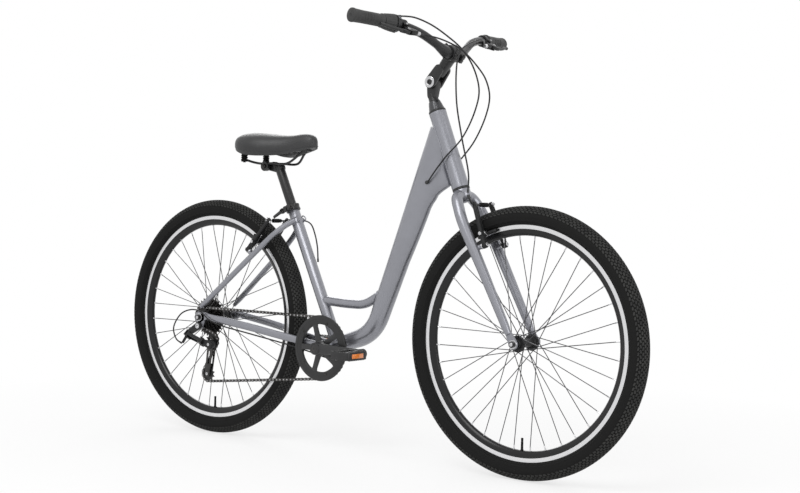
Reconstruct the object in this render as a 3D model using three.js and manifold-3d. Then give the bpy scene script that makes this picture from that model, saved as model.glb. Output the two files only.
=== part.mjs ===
// Step-through comfort bicycle with a low-slung frame, a rigid fork, a rear derailleur and rim brakes.
// Millimetres. +X is forward, +Y is the rider's left, +Z is up. The origin is on the ground midway
// between the axles, in the plane of the wheels.

import * as THREE from "three";
import { mergeVertices } from "three/addons/utils/BufferGeometryUtils.js";
import Module from "manifold-3d";

// Geometry of the whole bicycle
const tyreRadius = 345;
const toeRoom = 384;
const wheelbase = 2 * tyreRadius + toeRoom;
const bottomBracketDrop = 58;
const tyreClearance = 104;
const chainstayLength = tyreRadius + tyreClearance;
const headAngle = THREE.MathUtils.degToRad(68);
const seatAngle = THREE.MathUtils.degToRad(65);
const forkRake = 46;
const crownClearance = 86;
const forkLength = tyreRadius + crownClearance;
const headTubeLength = 213;
const seatTubeOffset = 24;
const seatTubeLength = 432;
const fitGap = 0.3;
const flatness = 0.03;
const overrun = 12;
const lap = 1;
const weldDistance = 1e-4;
const cutterSize = 2 * tyreRadius;

// Wheels
const tyreWidth = 53;
const treadFlat = 18;
const tread = { thickness: 7, shoulder: 8, shoulderShare: 0.8, bulge: 22 };
const bead = { seat: 7, half: 6, lip: 1, lipHalf: 3, neck: 3.5, neckShare: 0.42 };
const tyreHeight = 47;
const rimRadius = tyreRadius - tyreHeight;
const rimDepth = 28;
const rimWidth = 25;
const rimNeck = 15;
const rimInnerShare = 0.4;
const rimBedShare = 0.3;
const brakeTrack = 10;
const valveLength = 34;
const valveRadius = 3.2;
const valveFoot = 4;
const wheelSides = 32;
const spokeCount = 36;
const spokeRadius = 1.1;
const spokeLacing = 1.3;
const spokeTurn = THREE.MathUtils.degToRad(60);
const hubEndRadius = 9.5;
const axleRadius = 4.7;
const nutRadius = 8.5;
const nutLength = 9;
const lockNutLength = 8;
const lockNutRadius = 8;
const flangeThickness = 3;
const flangeTaper = 4;
const hubSides = 12;
const axleSides = 8;
const frontHub = { spacing: 100, right: 33, left: 33, flange: 21, barrel: 11 };
const rearHub = { spacing: 135, right: 20, left: 34, flange: 24, barrel: 15 };
const freewheelBoss = 17;
const freewheelBossLength = 10;
const freewheelRoom = 1;

// Frame tubes
const headTubeRadius = 23;
const headTubeWall = 4.5;
const bearingHeight = 14;
const headsetStack = 5;
const seatTubeRadius = 16.5;
const seatpostRadius = 13.6;
const seatpostDepth = 110;
const seatTubeStart = 14;
const seatpostRoom = 10;
const crossTubeRadius = 12.7;
const crossTubeHeight = 129;
const crossTubeReach = 222;
const crossTubeRise = 36;
const crossTubeShares = [
  [0, 0],
  [0.473, -0.139],
  [0.685, -0.028],
  [1, 1],
];
const shellRadius = 21;
const shellWidth = 68;
const shellBore = 15;
const shellCup = 12;
const downTubeJoint = 158;
const downTubeLowerAngle = THREE.MathUtils.degToRad(18);
const downTubeUpperAngle = THREE.MathUtils.degToRad(68.3);
const downTubeBend = 54;
const downTubeDepths = { top: 84, middle: 62, bottom: 44 };
const downTubeWidths = { top: 42, middle: 48, bottom: 54 };
const downTubeFlareLength = 200;
const downTubeFlareReach = 84;
const downTubeFlareShares = [
  [0, 0.5],
  [0.35, 0.5],
  [0.56, 0.833],
  [0.63, 1],
  [0.68, 0.738],
  [0.8, 0.583],
  [1, 0.476],
];
const downTubeRingShares = [0.35, 0.7];
const downTubeFade = 160;
const downTubeSides = 16;
const crownRoom = 60;
const chainstay = { width: 14, height: 22, tipWidth: 12, tipHeight: 20 };
const seatstay = { radius: 8, joint: 386 };
const dropout = { thickness: 7, radius: 17, slot: 5.2, mouth: 30, room: 7.5 };
const dropoutHorn = { forward: 26, up: 5, radius: 10 };
const slotTurn = THREE.MathUtils.degToRad(48);
const hanger = { forward: 3, down: 25, radius: 10, bolt: 4.2, rootForward: 10, rootRadius: 12 };
const chainstayShares = [
  [0.049, 0.069, 0.986],
  [0.135, -0.017, 0.958],
  [0.404, -0.276, 0.817],
  [0.651, -0.586, 0.606],
  [0.752, -0.707, 0.521],
  [0.876, -0.862, 0.437],
  [0.984, -0.983, 0.38],
];
const seatstayShares = [
  [0.01, 0.103, 0.986],
  [0.196, 0.267, 0.93],
  [0.49, 0.531, 0.831],
  [0.725, 0.74, 0.746],
  [0.856, 0.864, 0.62],
  [0.954, 0.953, 0.38],
  [1.026, 1.0, 0.211],
];
const tubeSides = 12;
const staySides = 8;

// Fork
const steererRadius = 14.3;
const steererBore = 11.4;
const crownRadius = 22;
const crownHeight = 20;
const crownFoot = { drop: 14, edge: 12, radius: 12 };
const steererFoot = 30;
const steererInset = 4;
const steererBoreDepth = 80;
const bladeTopRadius = 15;
const bladeTipRadius = 10;
const bladeSpread = 55;
const bladeSides = 10;
const bladePathShares = [
  [0, 0.18, 0.967],
  [0.043, 0.618, 0.944],
  [0.152, 0.891, 0.865],
  [0.217, 1, 0.787],
  [0.587, 1, 0.418],
  [0.913, 1, 0.065],
];
const bladeRingShares = [0, 0.06, 0.11, 0.17, 0.24, 0.5, 1];
const forkDropout = { thickness: 6, radius: 14, back: 4, rise: 32, neck: 8, slot: 5.2, mouth: 40 };
const coneTopRadius = 15.5;
const coneHeight = 26;
const cone = { step: 2, stepHeight: 1, shoulder: 2, shoulderDrop: 4 };

// Rim brakes, the same pair front and rear
const studInside = 36;
const brakeStudRadius = rimRadius - studInside;
const brakeStudSpread = 46;
const frontBrakeAngle = THREE.MathUtils.degToRad(111.5);
const rearBrakeAngle = THREE.MathUtils.degToRad(51);
const studRadius = 4;
const studReach = 8;
const bossReach = 9;
const frontBossDepth = 34;
const rearBossDepth = 30;
const bossRadius = 6.5;
const frontBossSpread = 5;
const frontBossDrop = 4;
const rearBossSpread = 9;
const arm = { length: 112, topSpread: 38, boss: 8.5, tip: 5, thick: 11, bolt: 3, clamp: 3.4, clampOut: 4 };
const pad = { gap: 2.2, inset: 0.5, height: 8, depth: 9, stem: 3.4, stemOut: 6 };
const padTurn = THREE.MathUtils.degToRad(12);
const padHigh = rimRadius - pad.inset;
const padLow = padHigh - pad.height;
const noodle = { radius: 2.8, out: 53, bend: 10, rise: 24, turn: 5, lift: 3 };
const noodleShares = { lean: 0.25, lift: 0.45 };
const rearNoodleLean = -22;
const boot = { radius: 6, bore: 4.6, start: -14, end: 20, depth: 22, wireIn: 4, noodleIn: 4 };
const wireRadius = 0.8;

// Stem and handlebar
const stemPivotForward = 17;
const stemPivotAbove = 79;
const stemAngle = THREE.MathUtils.degToRad(51.5);
const stemLength = 93;
const stemQuillRadius = 11.1;
const stemQuillDepth = 60;
const stemShaft = { radius: 14, inset: 16 };
const stemNeck = { forward: 2, drop: 28, radius: 12 };
const stemLugWidth = 23;
const stemCheek = 8;
const stemBoss = 17;
const stemBossRoom = 4;
const stemCheekReach = 40;
const stemCheekTip = 14;
const stemBody = { start: 24, inset: 1.5, widen: 1, depth: 14, endDepth: 15 };
const pivotBoltRadius = 4;
const washerRadius = 15;
const washerThickness = 3;
const barCentreRadius = 15.9;
const barRadius = 11.1;
const barHalfWidth = 335;
const barSweep = -70;
const barRise = 64;
const barCentreHalf = 32;
const barTaper = 32;
const clampWidth = 44;
const clampWall = 5;
const clampLug = { depth: 11, height: 9, sink: 3 };
const barPathShares = [
  [0, 0, 0],
  [0.04, 0, 0],
  [0.075, 0, 0],
  [0.13, 0.02, 0.1],
  [0.21, 0.1, 0.31],
  [0.33, 0.27, 0.61],
  [0.45, 0.4, 0.78],
  [0.6, 0.54, 0.88],
  [1, 1, 1],
];

// Grips and controls
const gripRadius = 16.5;
const gripEndRadius = 18.5;
const rightGripLength = 92;
const leftGripLength = 130;
const shifterLength = 34;
const shifterRadius = 23;
const twistEndRadius = 18.5;
const shifterHousingLength = 13;
const housingStep = 2;
const gripCap = 3;
const sleeveGap = 1;
const twistRoom = 1.1;
const controlTilt = THREE.MathUtils.degToRad(32);
const rightControlInset = 153;
const leftControlInset = 142;
const rightControl = barHalfWidth - rightControlInset;
const leftControl = barHalfWidth - leftControlInset;
const perch = { width: 22, wall: 4.5, pivotForward: 34, thick: 13 };
const perchPlate = { inboard: 34, near: 8, outboard: 9, width: 11 };
const perchNose = { forward: 8, out: 2, in: 10 };
const perchSlot = { length: 30, width: 60, forward: 3, out: 12 };
const lever = { length: 96, root: 7.5, start: 7, tip: 4.5, thick: 9 };
const leverPathShares = [
  [0, 0.021],
  [0.062, 0.25],
  [0.073, 0.55],
  [0.021, 0.85],
  [0.031, 1],
];
const leverBolt = 3;
const barrel = { radius: 4.2, length: 12 };

// Saddle and seatpost
const seatpostTop = 128;
const seatpostDrop = 60;
const seatpostHeadInset = 8;
const seatpostHeadRadius = 13;
const saddleClamp = { back: 32, drop: 8, neck: 11, width: 24, cheek: 14, radius: 14, bolt: 4 };
const saddleSetback = 124.573;
const saddleRise = 90.468;
const saddleLength = 264;
const saddleHalfSpan = 88;
const saddleDepth = 68;
const saddleShares = [
  [0, 0.295, 0.279, 0.618],
  [0.034, 0.659, 0.147, 0.676],
  [0.114, 0.909, 0.044, 0.809],
  [0.227, 1, 0, 0.941],
  [0.36, 0.966, 0.029, 1],
  [0.492, 0.795, 0.088, 1],
  [0.606, 0.591, 0.118, 0.971],
  [0.72, 0.432, 0.118, 0.897],
  [0.833, 0.33, 0.074, 0.809],
  [0.92, 0.261, 0.088, 0.735],
  [0.977, 0.182, 0.191, 0.676],
  [1, 0.091, 0.324, 0.618],
];
const saddleUnderside = 48;
const saddleSideShares = [
  [0, 0],
  [0.38, 0.02],
  [0.68, 0.1],
  [0.88, 0.26],
  [0.98, 0.48],
  [1, 0.7],
  [0.95, 1],
];
const skirtThickness = 6;
const skirtShare = 0.6;
const saddleBase = { rear: 14, front: 235, thick: 6, room: 2 };
const railRadius = 3.5;
const railSpread = 22;
const railLevel = 88;
const railShares = [0.674, 0.455, 0.258];
const railNose = { forward: 226, spread: 7, sink: 3, bendForward: 212, bendSpread: 10, bendDrop: 8 };
const railTail = { forward: 4, inward: 6, rise: 9, end: 14 };
const bumper = { radius: 10, spread: 46, forward: 34, bottom: 84 };
const seatCollar = { low: 414, high: 431, wall: 4, lug: 11, lugIn: 18, lugOut: 30 };
const collarSlit = { half: 1, depth: 20, height: 30, out: 2 };
const seatLever = { length: 44, cam: 8, disc: 7.5, half: 6, slot: 6 };
const seatSkewer = { pin: 3, nut: 6, nutLength: 5, reach: 8 };
const leverBlade = { start: 5, thick: 2.5, half: 6, tipHalf: 4.5, bow: 3, tipOut: 8, middleShare: 0.5 };

// Cranks, chainring and pedals
const crankLength = 170;
const chainPitch = 12.7;
const chainringTeeth = 42;
const chainringLine = 45;
const sprocketThickness = 1.9;
const chainringBore = 66;
const spider = { hub: 20, arms: 5, half: 8, inside: 46, inset: 1.6 };
const guard = { outer: 91, seat: 77, inside: 48.6, outside: 51.6 };
const crankBoss = 17;
const crankBossOut = 11;
const crankBossIn = 6;
const crankTip = 13;
const crankWidth = 14;
const crankBar = { line: 3, rootHalf: 15, tipHalf: 11.5 };
const crankOut = 66;
const crankFlare = 10;
const spindleRadius = 8;
const spindleOut = 8;
const pedal = { start: 96, length: 80, width: 64, thick: 26, chamfer: 8, wall: 8 };
const pedalAxle = { radius: 6, barrel: 11, collar: 2, sink: 3 };

// Freewheel, chain and derailleur
const sprocketTeeth = [14, 16, 18, 20, 22, 24, 28];
const sprocketStep = 5;
const firstSprocketLine = 58;
const toothHeight = 7;
const toothRoot = 4.4;
const sprocketCore = 22;
const sprocketSeat = 2;
const spiderTurn = THREE.MathUtils.degToRad(36);
const chain = { inner: 1.45, outer: 3.05, halfHeight: 4.1, roller: 2.5, straight: 36 };
const pulleyTeeth = 11;
const upperPulley = { forward: 40, down: 66 };
const lowerPulley = { forward: 27.7, down: 164.3 };
const pulleyLine = 58;
const pulleyHub = 8;
const pulleyBolt = 3;
const cage = { plate: 1.8, inside: 5.2, top: 12, bottom: 9 };
const cagePivot = { forward: 49, down: 76, radius: 9, pin: 4 };
const knuckleB = { back: 36, down: 54, out: 78, thick: 7, boss: 11, tail: 8, inset: 8 };
const knuckleP = { out: 78, radius: 11, cap: 6, neck: 5 };
const link = { length: 54, spread: 7.5, thick: 3.5, eye: 4.4, slack: 2, pin: 2.4, pinHalf: 9 };
const lug = { thick: 3, length: 10, spread: 4.5, wall: 4, wallOut: 7 };
const linkRoom = { length: 70, width: 34, in: 6, out: 5 };
const adjuster = { in: 2, back: 10, out: 8, down: 26 };
const linkSlant = THREE.MathUtils.degToRad(38);
const linkFall = THREE.MathUtils.degToRad(17);

// Cables
const cableRadius = 2.2;
const cableSides = 8;

const sideways = new THREE.Vector3(0, 1, 0);
const upward = new THREE.Vector3(0, 0, 1);
const forward = new THREE.Vector3(1, 0, 0);

const wasm = await Module();
wasm.setup();

// Solids: a closed geometry becomes a solid that can be cut and joined, and goes back to a geometry.
function solidOf(geometry) {
  const bare = geometry.index ? geometry.toNonIndexed() : geometry.clone();
  const positions = new THREE.BufferGeometry();
  positions.setAttribute("position", bare.getAttribute("position"));
  const merged = mergeVertices(positions, weldDistance);
  const corners = merged.index.array;
  const faces = [];
  for (let i = 0; i < corners.length; i += 3) {
    const [a, b, c] = corners.slice(i, i + 3);
    if (a !== b && b !== c && c !== a) faces.push(a, b, c);
  }
  return new wasm.Manifold(
    new wasm.Mesh({
      numProp: 3,
      vertProperties: merged.attributes.position.array,
      triVerts: new Uint32Array(faces),
    }),
  );
}

function geometryOf(solid) {
  const mesh = solid.simplify(flatness).getMesh();
  const geometry = new THREE.BufferGeometry();
  geometry.setAttribute("position", new THREE.BufferAttribute(mesh.vertProperties, 3));
  geometry.setIndex(new THREE.BufferAttribute(mesh.triVerts, 1));
  geometry.computeVertexNormals();
  return geometry;
}

function join(...geometries) {
  return geometryOf(geometries.map(solidOf).reduce((whole, piece) => whole.add(piece)));
}

function cut(geometry, ...cutters) {
  const start = solidOf(geometry);
  return geometryOf(cutters.map(solidOf).reduce((left, cutter) => left.subtract(cutter), start));
}

// Rings of equally many points, joined into one closed skin with flat ends.
function loft(rings) {
  const sides = rings[0].length;
  const last = (rings.length - 1) * sides;
  const faces = [];
  for (let start = 0; start < last; start += sides)
    for (let side = 0; side < sides; side++) {
      const next = (side + 1) % sides;
      faces.push(start + side, start + next, start + sides + next);
      faces.push(start + side, start + sides + next, start + sides + side);
    }
  for (let side = 1; side < sides - 1; side++) {
    faces.push(0, side + 1, side);
    faces.push(last, last + side, last + side + 1);
  }
  const geometry = new THREE.BufferGeometry();
  geometry.setFromPoints(rings.flat());
  geometry.setIndex(faces);
  return geometry;
}

function ringAt(centre, across, deep, halfWidth, halfDepth, sides) {
  const points = [];
  for (let side = 0; side < sides; side++) {
    const angle = (2 * Math.PI * (side + 0.5)) / sides;
    const point = centre.clone().addScaledVector(across, halfWidth * Math.cos(angle));
    points.push(point.addScaledVector(deep, halfDepth * Math.sin(angle)));
  }
  return points;
}

// A tube with a ring at each share of its curve. size gives half the width, measured along lateral,
// and half the depth there.
function sweep(curve, shares, sides, size, lateral = sideways) {
  const rings = shares.map((share) => {
    const ahead = curve.getTangentAt(share);
    const across = lateral.clone().addScaledVector(ahead, -ahead.dot(lateral)).normalize();
    const deep = ahead.clone().cross(across);
    const [halfWidth, halfDepth] = size(share);
    return ringAt(curve.getPointAt(share), across, deep, halfWidth, halfDepth, sides);
  });
  return loft(rings);
}

const evenly = (steps) => Array.from({ length: steps + 1 }, (_, step) => step / steps);
const blend = (from, to, share) => from + (to - from) * share;
const vector = (point) => new THREE.Vector3(...point);

function rod(from, to, radius, sides, endRadius = radius, lateral = null) {
  const start = vector(from);
  const end = vector(to);
  const run = end.clone().sub(start).normalize();
  const aside = lateral ?? (Math.abs(run.y) > 0.9 ? upward : sideways);
  const curve = new THREE.LineCurve3(start, end);
  const size = (share) => {
    const here = blend(radius, endRadius, share);
    return [here, here];
  };
  return sweep(curve, [0, 1], sides, size, aside);
}

// A hose through the given points, with rings of even spacing.
function hose(points, radius, steps, sides = cableSides) {
  const curve = new THREE.CatmullRomCurve3(points.map(vector), false, "centripetal");
  const frames = curve.computeFrenetFrames(steps, false);
  const rings = evenly(steps).map((share, step) =>
    ringAt(curve.getPointAt(share), frames.normals[step], frames.binormals[step], radius, radius, sides),
  );
  return loft(rings);
}

// A profile of [radius, height] turned about the Y axis; it closes on itself.
function turned(profile, sides) {
  const corners = profile.map(([radius, height]) => new THREE.Vector2(radius, height));
  if (THREE.ShapeUtils.area(corners) < 0) corners.reverse();
  const points = [...corners, corners[0]];
  return new THREE.LatheGeometry(points, sides, Math.PI / sides);
}

function turnedUpright(profile, sides) {
  return turned(profile, sides).rotateX(Math.PI / 2);
}

// A tube section between two heights, from an inner radius to an outer one.
const sleeve = (inner, outer, low, high) => [
  [inner, low],
  [outer, low],
  [outer, high],
  [inner, high],
];

// An outline of [x, z] points as a plate between two places along Y.
function plate(outline, low, high, holes = []) {
  const shape = new THREE.Shape(outline.map(([x, z]) => new THREE.Vector2(x, z)));
  holes.forEach((hole) => shape.holes.push(new THREE.Path(hole.map(([x, z]) => new THREE.Vector2(x, z)))));
  const geometry = new THREE.ExtrudeGeometry(shape, { depth: high - low, bevelEnabled: false });
  return geometry.rotateX(Math.PI / 2).translate(0, high, 0);
}

// The radius of a many-sided bore in which a shaft turns freely
const boreFor = (radius, sides) => (radius + fitGap) / Math.cos(Math.PI / sides);

function block(width, depth, height, centre) {
  return new THREE.BoxGeometry(width, depth, height).translate(...centre);
}

// Points of an arc about a centre, from one angle to another.
function arc([x, z], radius, from, to, steps) {
  return evenly(steps).map((share) => {
    const angle = blend(from, to, share);
    return [x + radius * Math.cos(angle), z + radius * Math.sin(angle)];
  });
}

// Two round ends of unlike size joined by their outer tangents.
function taperedOutline([x1, z1], radius1, [x2, z2], radius2, steps) {
  const heading = Math.atan2(z2 - z1, x2 - x1);
  const lean = Math.acos((radius1 - radius2) / Math.hypot(x2 - x1, z2 - z1));
  return [
    ...arc([x1, z1], radius1, heading + lean, heading + 2 * Math.PI - lean, steps),
    ...arc([x2, z2], radius2, heading - lean, heading + lean, steps),
  ];
}

// Colours and finishes
const finishes = {
  paint: { color: 0x9fa0ab, roughness: 0.32, metalness: 0.65 },
  black: { color: 0x161618, roughness: 0.5, metalness: 0.2 },
  rubber: { color: 0x1b1b1c, roughness: 0.85, metalness: 0 },
  leather: { color: 0x2a2a2c, roughness: 0.6, metalness: 0 },
  rim: { color: 0xb9babd, roughness: 0.35, metalness: 0.9 },
  steel: { color: 0x8d8f92, roughness: 0.3, metalness: 1 },
  darkSteel: { color: 0x3a3a3c, roughness: 0.4, metalness: 0.8 },
};

function add(parent, name, finish, geometry) {
  geometry.deleteAttribute("uv");
  const mesh = new THREE.Mesh(geometry, new THREE.MeshStandardMaterial(finishes[finish]));
  mesh.name = name;
  parent.add(mesh);
}

// Places that the parts share
const rear = -wheelbase / 2;
const front = wheelbase / 2;
const axleHeight = tyreRadius;
const crankX = rear + Math.sqrt(chainstayLength ** 2 - bottomBracketDrop ** 2);
const crankZ = axleHeight - bottomBracketDrop;
const crankCentre = [crankX, 0, crankZ];
const rearCentre = [rear, 0, axleHeight];
const frontCentre = [front, 0, axleHeight];
const steeringForward = [Math.sin(headAngle), 0, Math.cos(headAngle)];
const steeringFoot = [
  front - forkRake * steeringForward[0],
  0,
  axleHeight - forkRake * steeringForward[2],
];
const steeringFrame = new THREE.Matrix4()
  .makeRotationY(headAngle - Math.PI / 2)
  .setPosition(...steeringFoot);
const headBottom = forkLength + headsetStack;
const headTop = headBottom + headTubeLength;

function steered([x, y, z]) {
  return new THREE.Vector3(x, y, z).applyMatrix4(steeringFrame).toArray();
}

const seatUp = [-Math.cos(seatAngle), 0, Math.sin(seatAngle)];
const seatFoot = [crankX + seatTubeOffset, 0, crankZ];
const alongSeat = (distance) => seatFoot.map((value, axis) => value + distance * seatUp[axis]);
const seatpostHead = alongSeat(seatTubeLength + seatpostTop);
const saddleStart = seatpostHead[0] - saddleSetback;
const saddleTop = seatpostHead[2] + saddleRise;
const mirrored = (geometry) => {
  const flipped = geometry.clone().scale(1, -1, 1).toNonIndexed();
  const corners = flipped.getAttribute("position").array;
  for (let i = 0; i < corners.length; i += 9)
    for (let axis = 0; axis < 3; axis++)
      [corners[i + axis], corners[i + 3 + axis]] = [corners[i + 3 + axis], corners[i + axis]];
  return flipped;
};
const crossRod = (x, z, radius, low, high, sides) =>
  rod([x, low, z], [x, high, z], radius, sides, radius, upward);
const backToFront = (profile) => profile.map(([radius, y]) => [radius, -y]).reverse();

// Wheel parts turned about the axle; radii are those of the facets' middles.
function wheelRing(profile) {
  const share = 1 / Math.cos(Math.PI / wheelSides);
  return turned(profile.map(([radius, y]) => [radius * share, y]), wheelSides);
}

function tyre() {
  const half = tyreWidth / 2;
  const seat = rimRadius - bead.seat;
  const edge = [
    [tyreRadius, treadFlat / 2],
    [tyreRadius - tread.shoulder, half * tread.shoulderShare],
    [tyreRadius - tread.bulge, half],
    [rimRadius + bead.neck, half * bead.neckShare],
    [seat, bead.half],
    [seat + bead.lip, bead.lipHalf],
  ];
  return wheelRing([...edge, [tyreRadius - tread.thickness, 0], ...backToFront(edge)]);
}

function rim() {
  const half = rimWidth / 2;
  const inner = rimRadius - rimDepth;
  const profile = [
    [inner, -rimNeck * rimInnerShare],
    [rimRadius - brakeTrack, -half],
    [rimRadius, -half],
    [rimRadius - brakeTrack, -rimNeck * rimBedShare],
    [rimRadius - brakeTrack, rimNeck * rimBedShare],
    [rimRadius, half],
    [rimRadius - brakeTrack, half],
    [inner, rimNeck * rimInnerShare],
  ];
  const valve = rod([0, 0, -inner - valveFoot], [0, 0, valveLength - inner], valveRadius, 8);
  return join(wheelRing(profile), valve);
}

// Hub with flanges and laced spokes: every flange carries half of them, each leaning forward or
// backward by three crossings.
function lacedHub(hub, profile) {
  const inner = rimRadius - rimDepth;
  const spokes = [];
  for (let spoke = 0; spoke < spokeCount; spoke++) {
    const side = spoke % 2 ? 1 : -1;
    const lean = Math.floor(spoke / 2) % 2 ? 1 : -1;
    const rimTurn = (2 * Math.PI * (spoke + 0.5)) / spokeCount;
    const hubTurn = rimTurn + lean * spokeTurn;
    const flange = side > 0 ? hub.left : -hub.right;
    const seat = hub.flange - flangeThickness;
    const near = [seat * Math.cos(hubTurn), flange + lean * spokeLacing, seat * Math.sin(hubTurn)];
    const reach = inner - fitGap;
    const far = [reach * Math.cos(rimTurn), side * spokeLacing, reach * Math.sin(rimTurn)];
    spokes.push(rod(near, far, spokeRadius, 3));
  }
  const body = turned(profile, hubSides);
  const boreRadius = boreFor(axleRadius, axleSides);
  const bore = crossRod(0, 0, boreRadius, -hub.spacing, hub.spacing, axleSides);
  return cut(join(body, ...spokes), bore);
}

function frontHubBody() {
  const { spacing, flange, barrel, left } = frontHub;
  const end = spacing / 2 - lockNutLength;
  const half = flangeThickness / 2;
  const edge = [
    [hubEndRadius, end],
    [flange, left + half],
    [flange, left - half],
    [barrel, left - half - flangeTaper],
  ];
  return [[0, end], ...edge, ...backToFront(edge), [0, -end]];
}

function rearHubBody() {
  const { spacing, flange, barrel, left, right } = rearHub;
  const end = spacing / 2 - lockNutLength;
  const half = flangeThickness / 2;
  const bossEnd = right + half + freewheelBossLength;
  return [
    [0, -bossEnd],
    [freewheelBoss, -bossEnd],
    [freewheelBoss, -right - half],
    [flange, -right - half],
    [flange, half - right],
    [barrel, half - right + flangeTaper],
    [barrel, left - half - flangeTaper],
    [flange, left - half],
    [flange, left + half],
    [hubEndRadius, end],
    [0, end],
  ];
}

// Axle with lock nuts inside the dropouts and nuts outside them
function axle(spacing, grip) {
  const inside = spacing / 2 - fitGap;
  const outside = spacing / 2 + grip + fitGap;
  const half = [
    [lockNutRadius, inside - lockNutLength + 2 * fitGap],
    [lockNutRadius, inside],
    [axleRadius, inside],
    [axleRadius, outside],
    [nutRadius, outside],
    [nutRadius, outside + nutLength],
    [0, outside + nutLength],
  ];
  const start = [axleRadius, inside - lockNutLength + 2 * fitGap];
  return turned([...backToFront([start, ...half]), start, ...half], axleSides);
}

// Frame
function headTube() {
  const inner = steererRadius + fitGap;
  const wide = headTubeRadius - headTubeWall;
  const profile = [
    [inner, headBottom],
    [headTubeRadius, headBottom],
    [headTubeRadius, headTop],
    [inner, headTop],
    [inner, headTop - bearingHeight],
    [wide, headTop - bearingHeight],
    [wide, headBottom + bearingHeight],
    [inner, headBottom + bearingHeight],
  ];
  return turnedUpright(profile, 16).applyMatrix4(steeringFrame);
}

const downTubeTop = steered([0, 0, headBottom + downTubeJoint]);

function downTubeCurve() {
  const steep = [Math.cos(downTubeUpperAngle), 0, Math.sin(downTubeUpperAngle)];
  const low = [Math.cos(downTubeLowerAngle), 0, Math.sin(downTubeLowerAngle)];
  const gap = [downTubeTop[0] - crankX, downTubeTop[2] - crankZ];
  const crossing = steep[0] * low[2] - steep[2] * low[0];
  const drop = (gap[0] * low[2] - gap[1] * low[0]) / crossing;
  const corner = vector(downTubeTop).addScaledVector(vector(steep), -drop);
  const path = new THREE.CurvePath();
  const bendStart = corner.clone().addScaledVector(vector(steep), downTubeBend);
  const bendEnd = corner.clone().addScaledVector(vector(low), -downTubeBend);
  path.add(new THREE.LineCurve3(vector(downTubeTop), bendStart));
  path.add(new THREE.QuadraticBezierCurve3(bendStart, corner, bendEnd));
  path.add(new THREE.LineCurve3(bendEnd, vector(crankCentre)));
  return path;
}

// How far a table of [place, value] rows has come at a place
function valueAt(table, place) {
  for (let step = 1; step < table.length; step++) {
    const [from, start] = table[step - 1];
    const [to, end] = table[step];
    if (place <= to) return blend(start, end, (place - from) / (to - from));
  }
  return table.at(-1)[1];
}

const downTubeFlare = downTubeFlareShares.map(([along, deep]) => [
  along * downTubeFlareLength,
  deep * downTubeFlareReach,
]);

// The reach below the down tube's line: the flare, then a fade into the tube's own depth
function downTubeBelow(distance, depth) {
  const [flareEnd, flareReach] = downTubeFlare.at(-1);
  if (distance < flareEnd) return valueAt(downTubeFlare, distance);
  const fading = Math.max(0, 1 - (distance - flareEnd) / downTubeFade);
  return blend(depth / 2, flareReach, fading);
}

// A size that changes evenly from the top to the middle and from there to the bottom
function thirdsOf({ top, middle, bottom }, share) {
  const upper = Math.min(2 * share, 1);
  const lower = Math.max(2 * share - 1, 0);
  return blend(blend(top, middle, upper), bottom, lower);
}

// The down tube is flared downwards behind the head tube; swell thickens it for a cutter.
function downTubeSkin(swell) {
  const path = downTubeCurve();
  const length = path.getLength();
  const straight = path.curves[0].getLength();
  const flareEnd = downTubeFlare.at(-1)[0];
  const distances = downTubeFlare.map(([distance]) => distance);
  distances.push(...downTubeRingShares.map((share) => blend(flareEnd, straight, share)), straight);
  const bent = path.curves[1].getLength();
  for (let step = 1; step <= 4; step++) distances.push(straight + (bent * step) / 4);
  distances.push(length);
  const rings = distances.map((distance) => {
    const share = Math.min(distance / length, 1);
    const ahead = path.getTangentAt(share);
    const deep = ahead.clone().cross(sideways);
    const half = thirdsOf(downTubeWidths, share) / 2 + swell;
    const depth = thirdsOf(downTubeDepths, share);
    const below = downTubeBelow(distance, depth);
    const points = [];
    for (let side = 0; side < downTubeSides; side++) {
      const angle = (2 * Math.PI * (side + 0.5)) / downTubeSides;
      const rise = Math.sin(angle);
      const reach = rise > 0 ? below + swell : depth / 2 + swell;
      const point = path.getPointAt(share).addScaledVector(sideways, half * Math.cos(angle));
      points.push(point.addScaledVector(deep, reach * rise));
    }
    return points;
  });
  return loft(rings);
}

function headClearance() {
  const radius = headTubeRadius + fitGap;
  const tube = rod([0, 0, headBottom - crownRoom], [0, 0, headTop + crownRoom], radius, 16);
  const middle = headBottom + headTubeLength / 2;
  const ahead = block(cutterSize, cutterSize, cutterSize, [cutterSize / 2, 0, middle]);
  return join(tube, ahead).applyMatrix4(steeringFrame);
}

const shellClearance = () =>
  crossRod(crankX, crankZ, shellRadius + fitGap, -shellWidth, shellWidth, 16);

function downTube() {
  return cut(downTubeSkin(0), headClearance(), shellClearance());
}

function seatTubeRoom() {
  const radius = seatTubeRadius + fitGap;
  return rod(alongSeat(0), alongSeat(seatTubeLength), radius, 16, radius, sideways);
}

function crossTube() {
  const start = alongSeat(crossTubeHeight / Math.sin(seatAngle));
  const points = crossTubeShares.map(
    ([along, up]) => new THREE.Vector3(start[0] + along * crossTubeReach, 0, start[2] + up * crossTubeRise),
  );
  const curve = new THREE.CatmullRomCurve3(points, false, "centripetal");
  const size = () => [crossTubeRadius, crossTubeRadius];
  const tube = sweep(curve, evenly(7), tubeSides, size);
  const behind = block(cutterSize, cutterSize, cutterSize, [start[0] - cutterSize / 2, 0, start[2]]);
  return cut(tube, seatTubeRoom(), behind, downTubeSkin(fitGap));
}

function seatTube() {
  const tube = rod(alongSeat(seatTubeStart), alongSeat(seatTubeLength), seatTubeRadius, 16);
  const bore = rod(
    alongSeat(seatTubeLength - seatpostDepth - seatpostDrop - seatpostRoom),
    alongSeat(seatTubeLength + overrun),
    seatpostRadius + fitGap,
    14,
  );
  return cut(tube, bore, downTubeSkin(fitGap), shellClearance());
}

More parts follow.
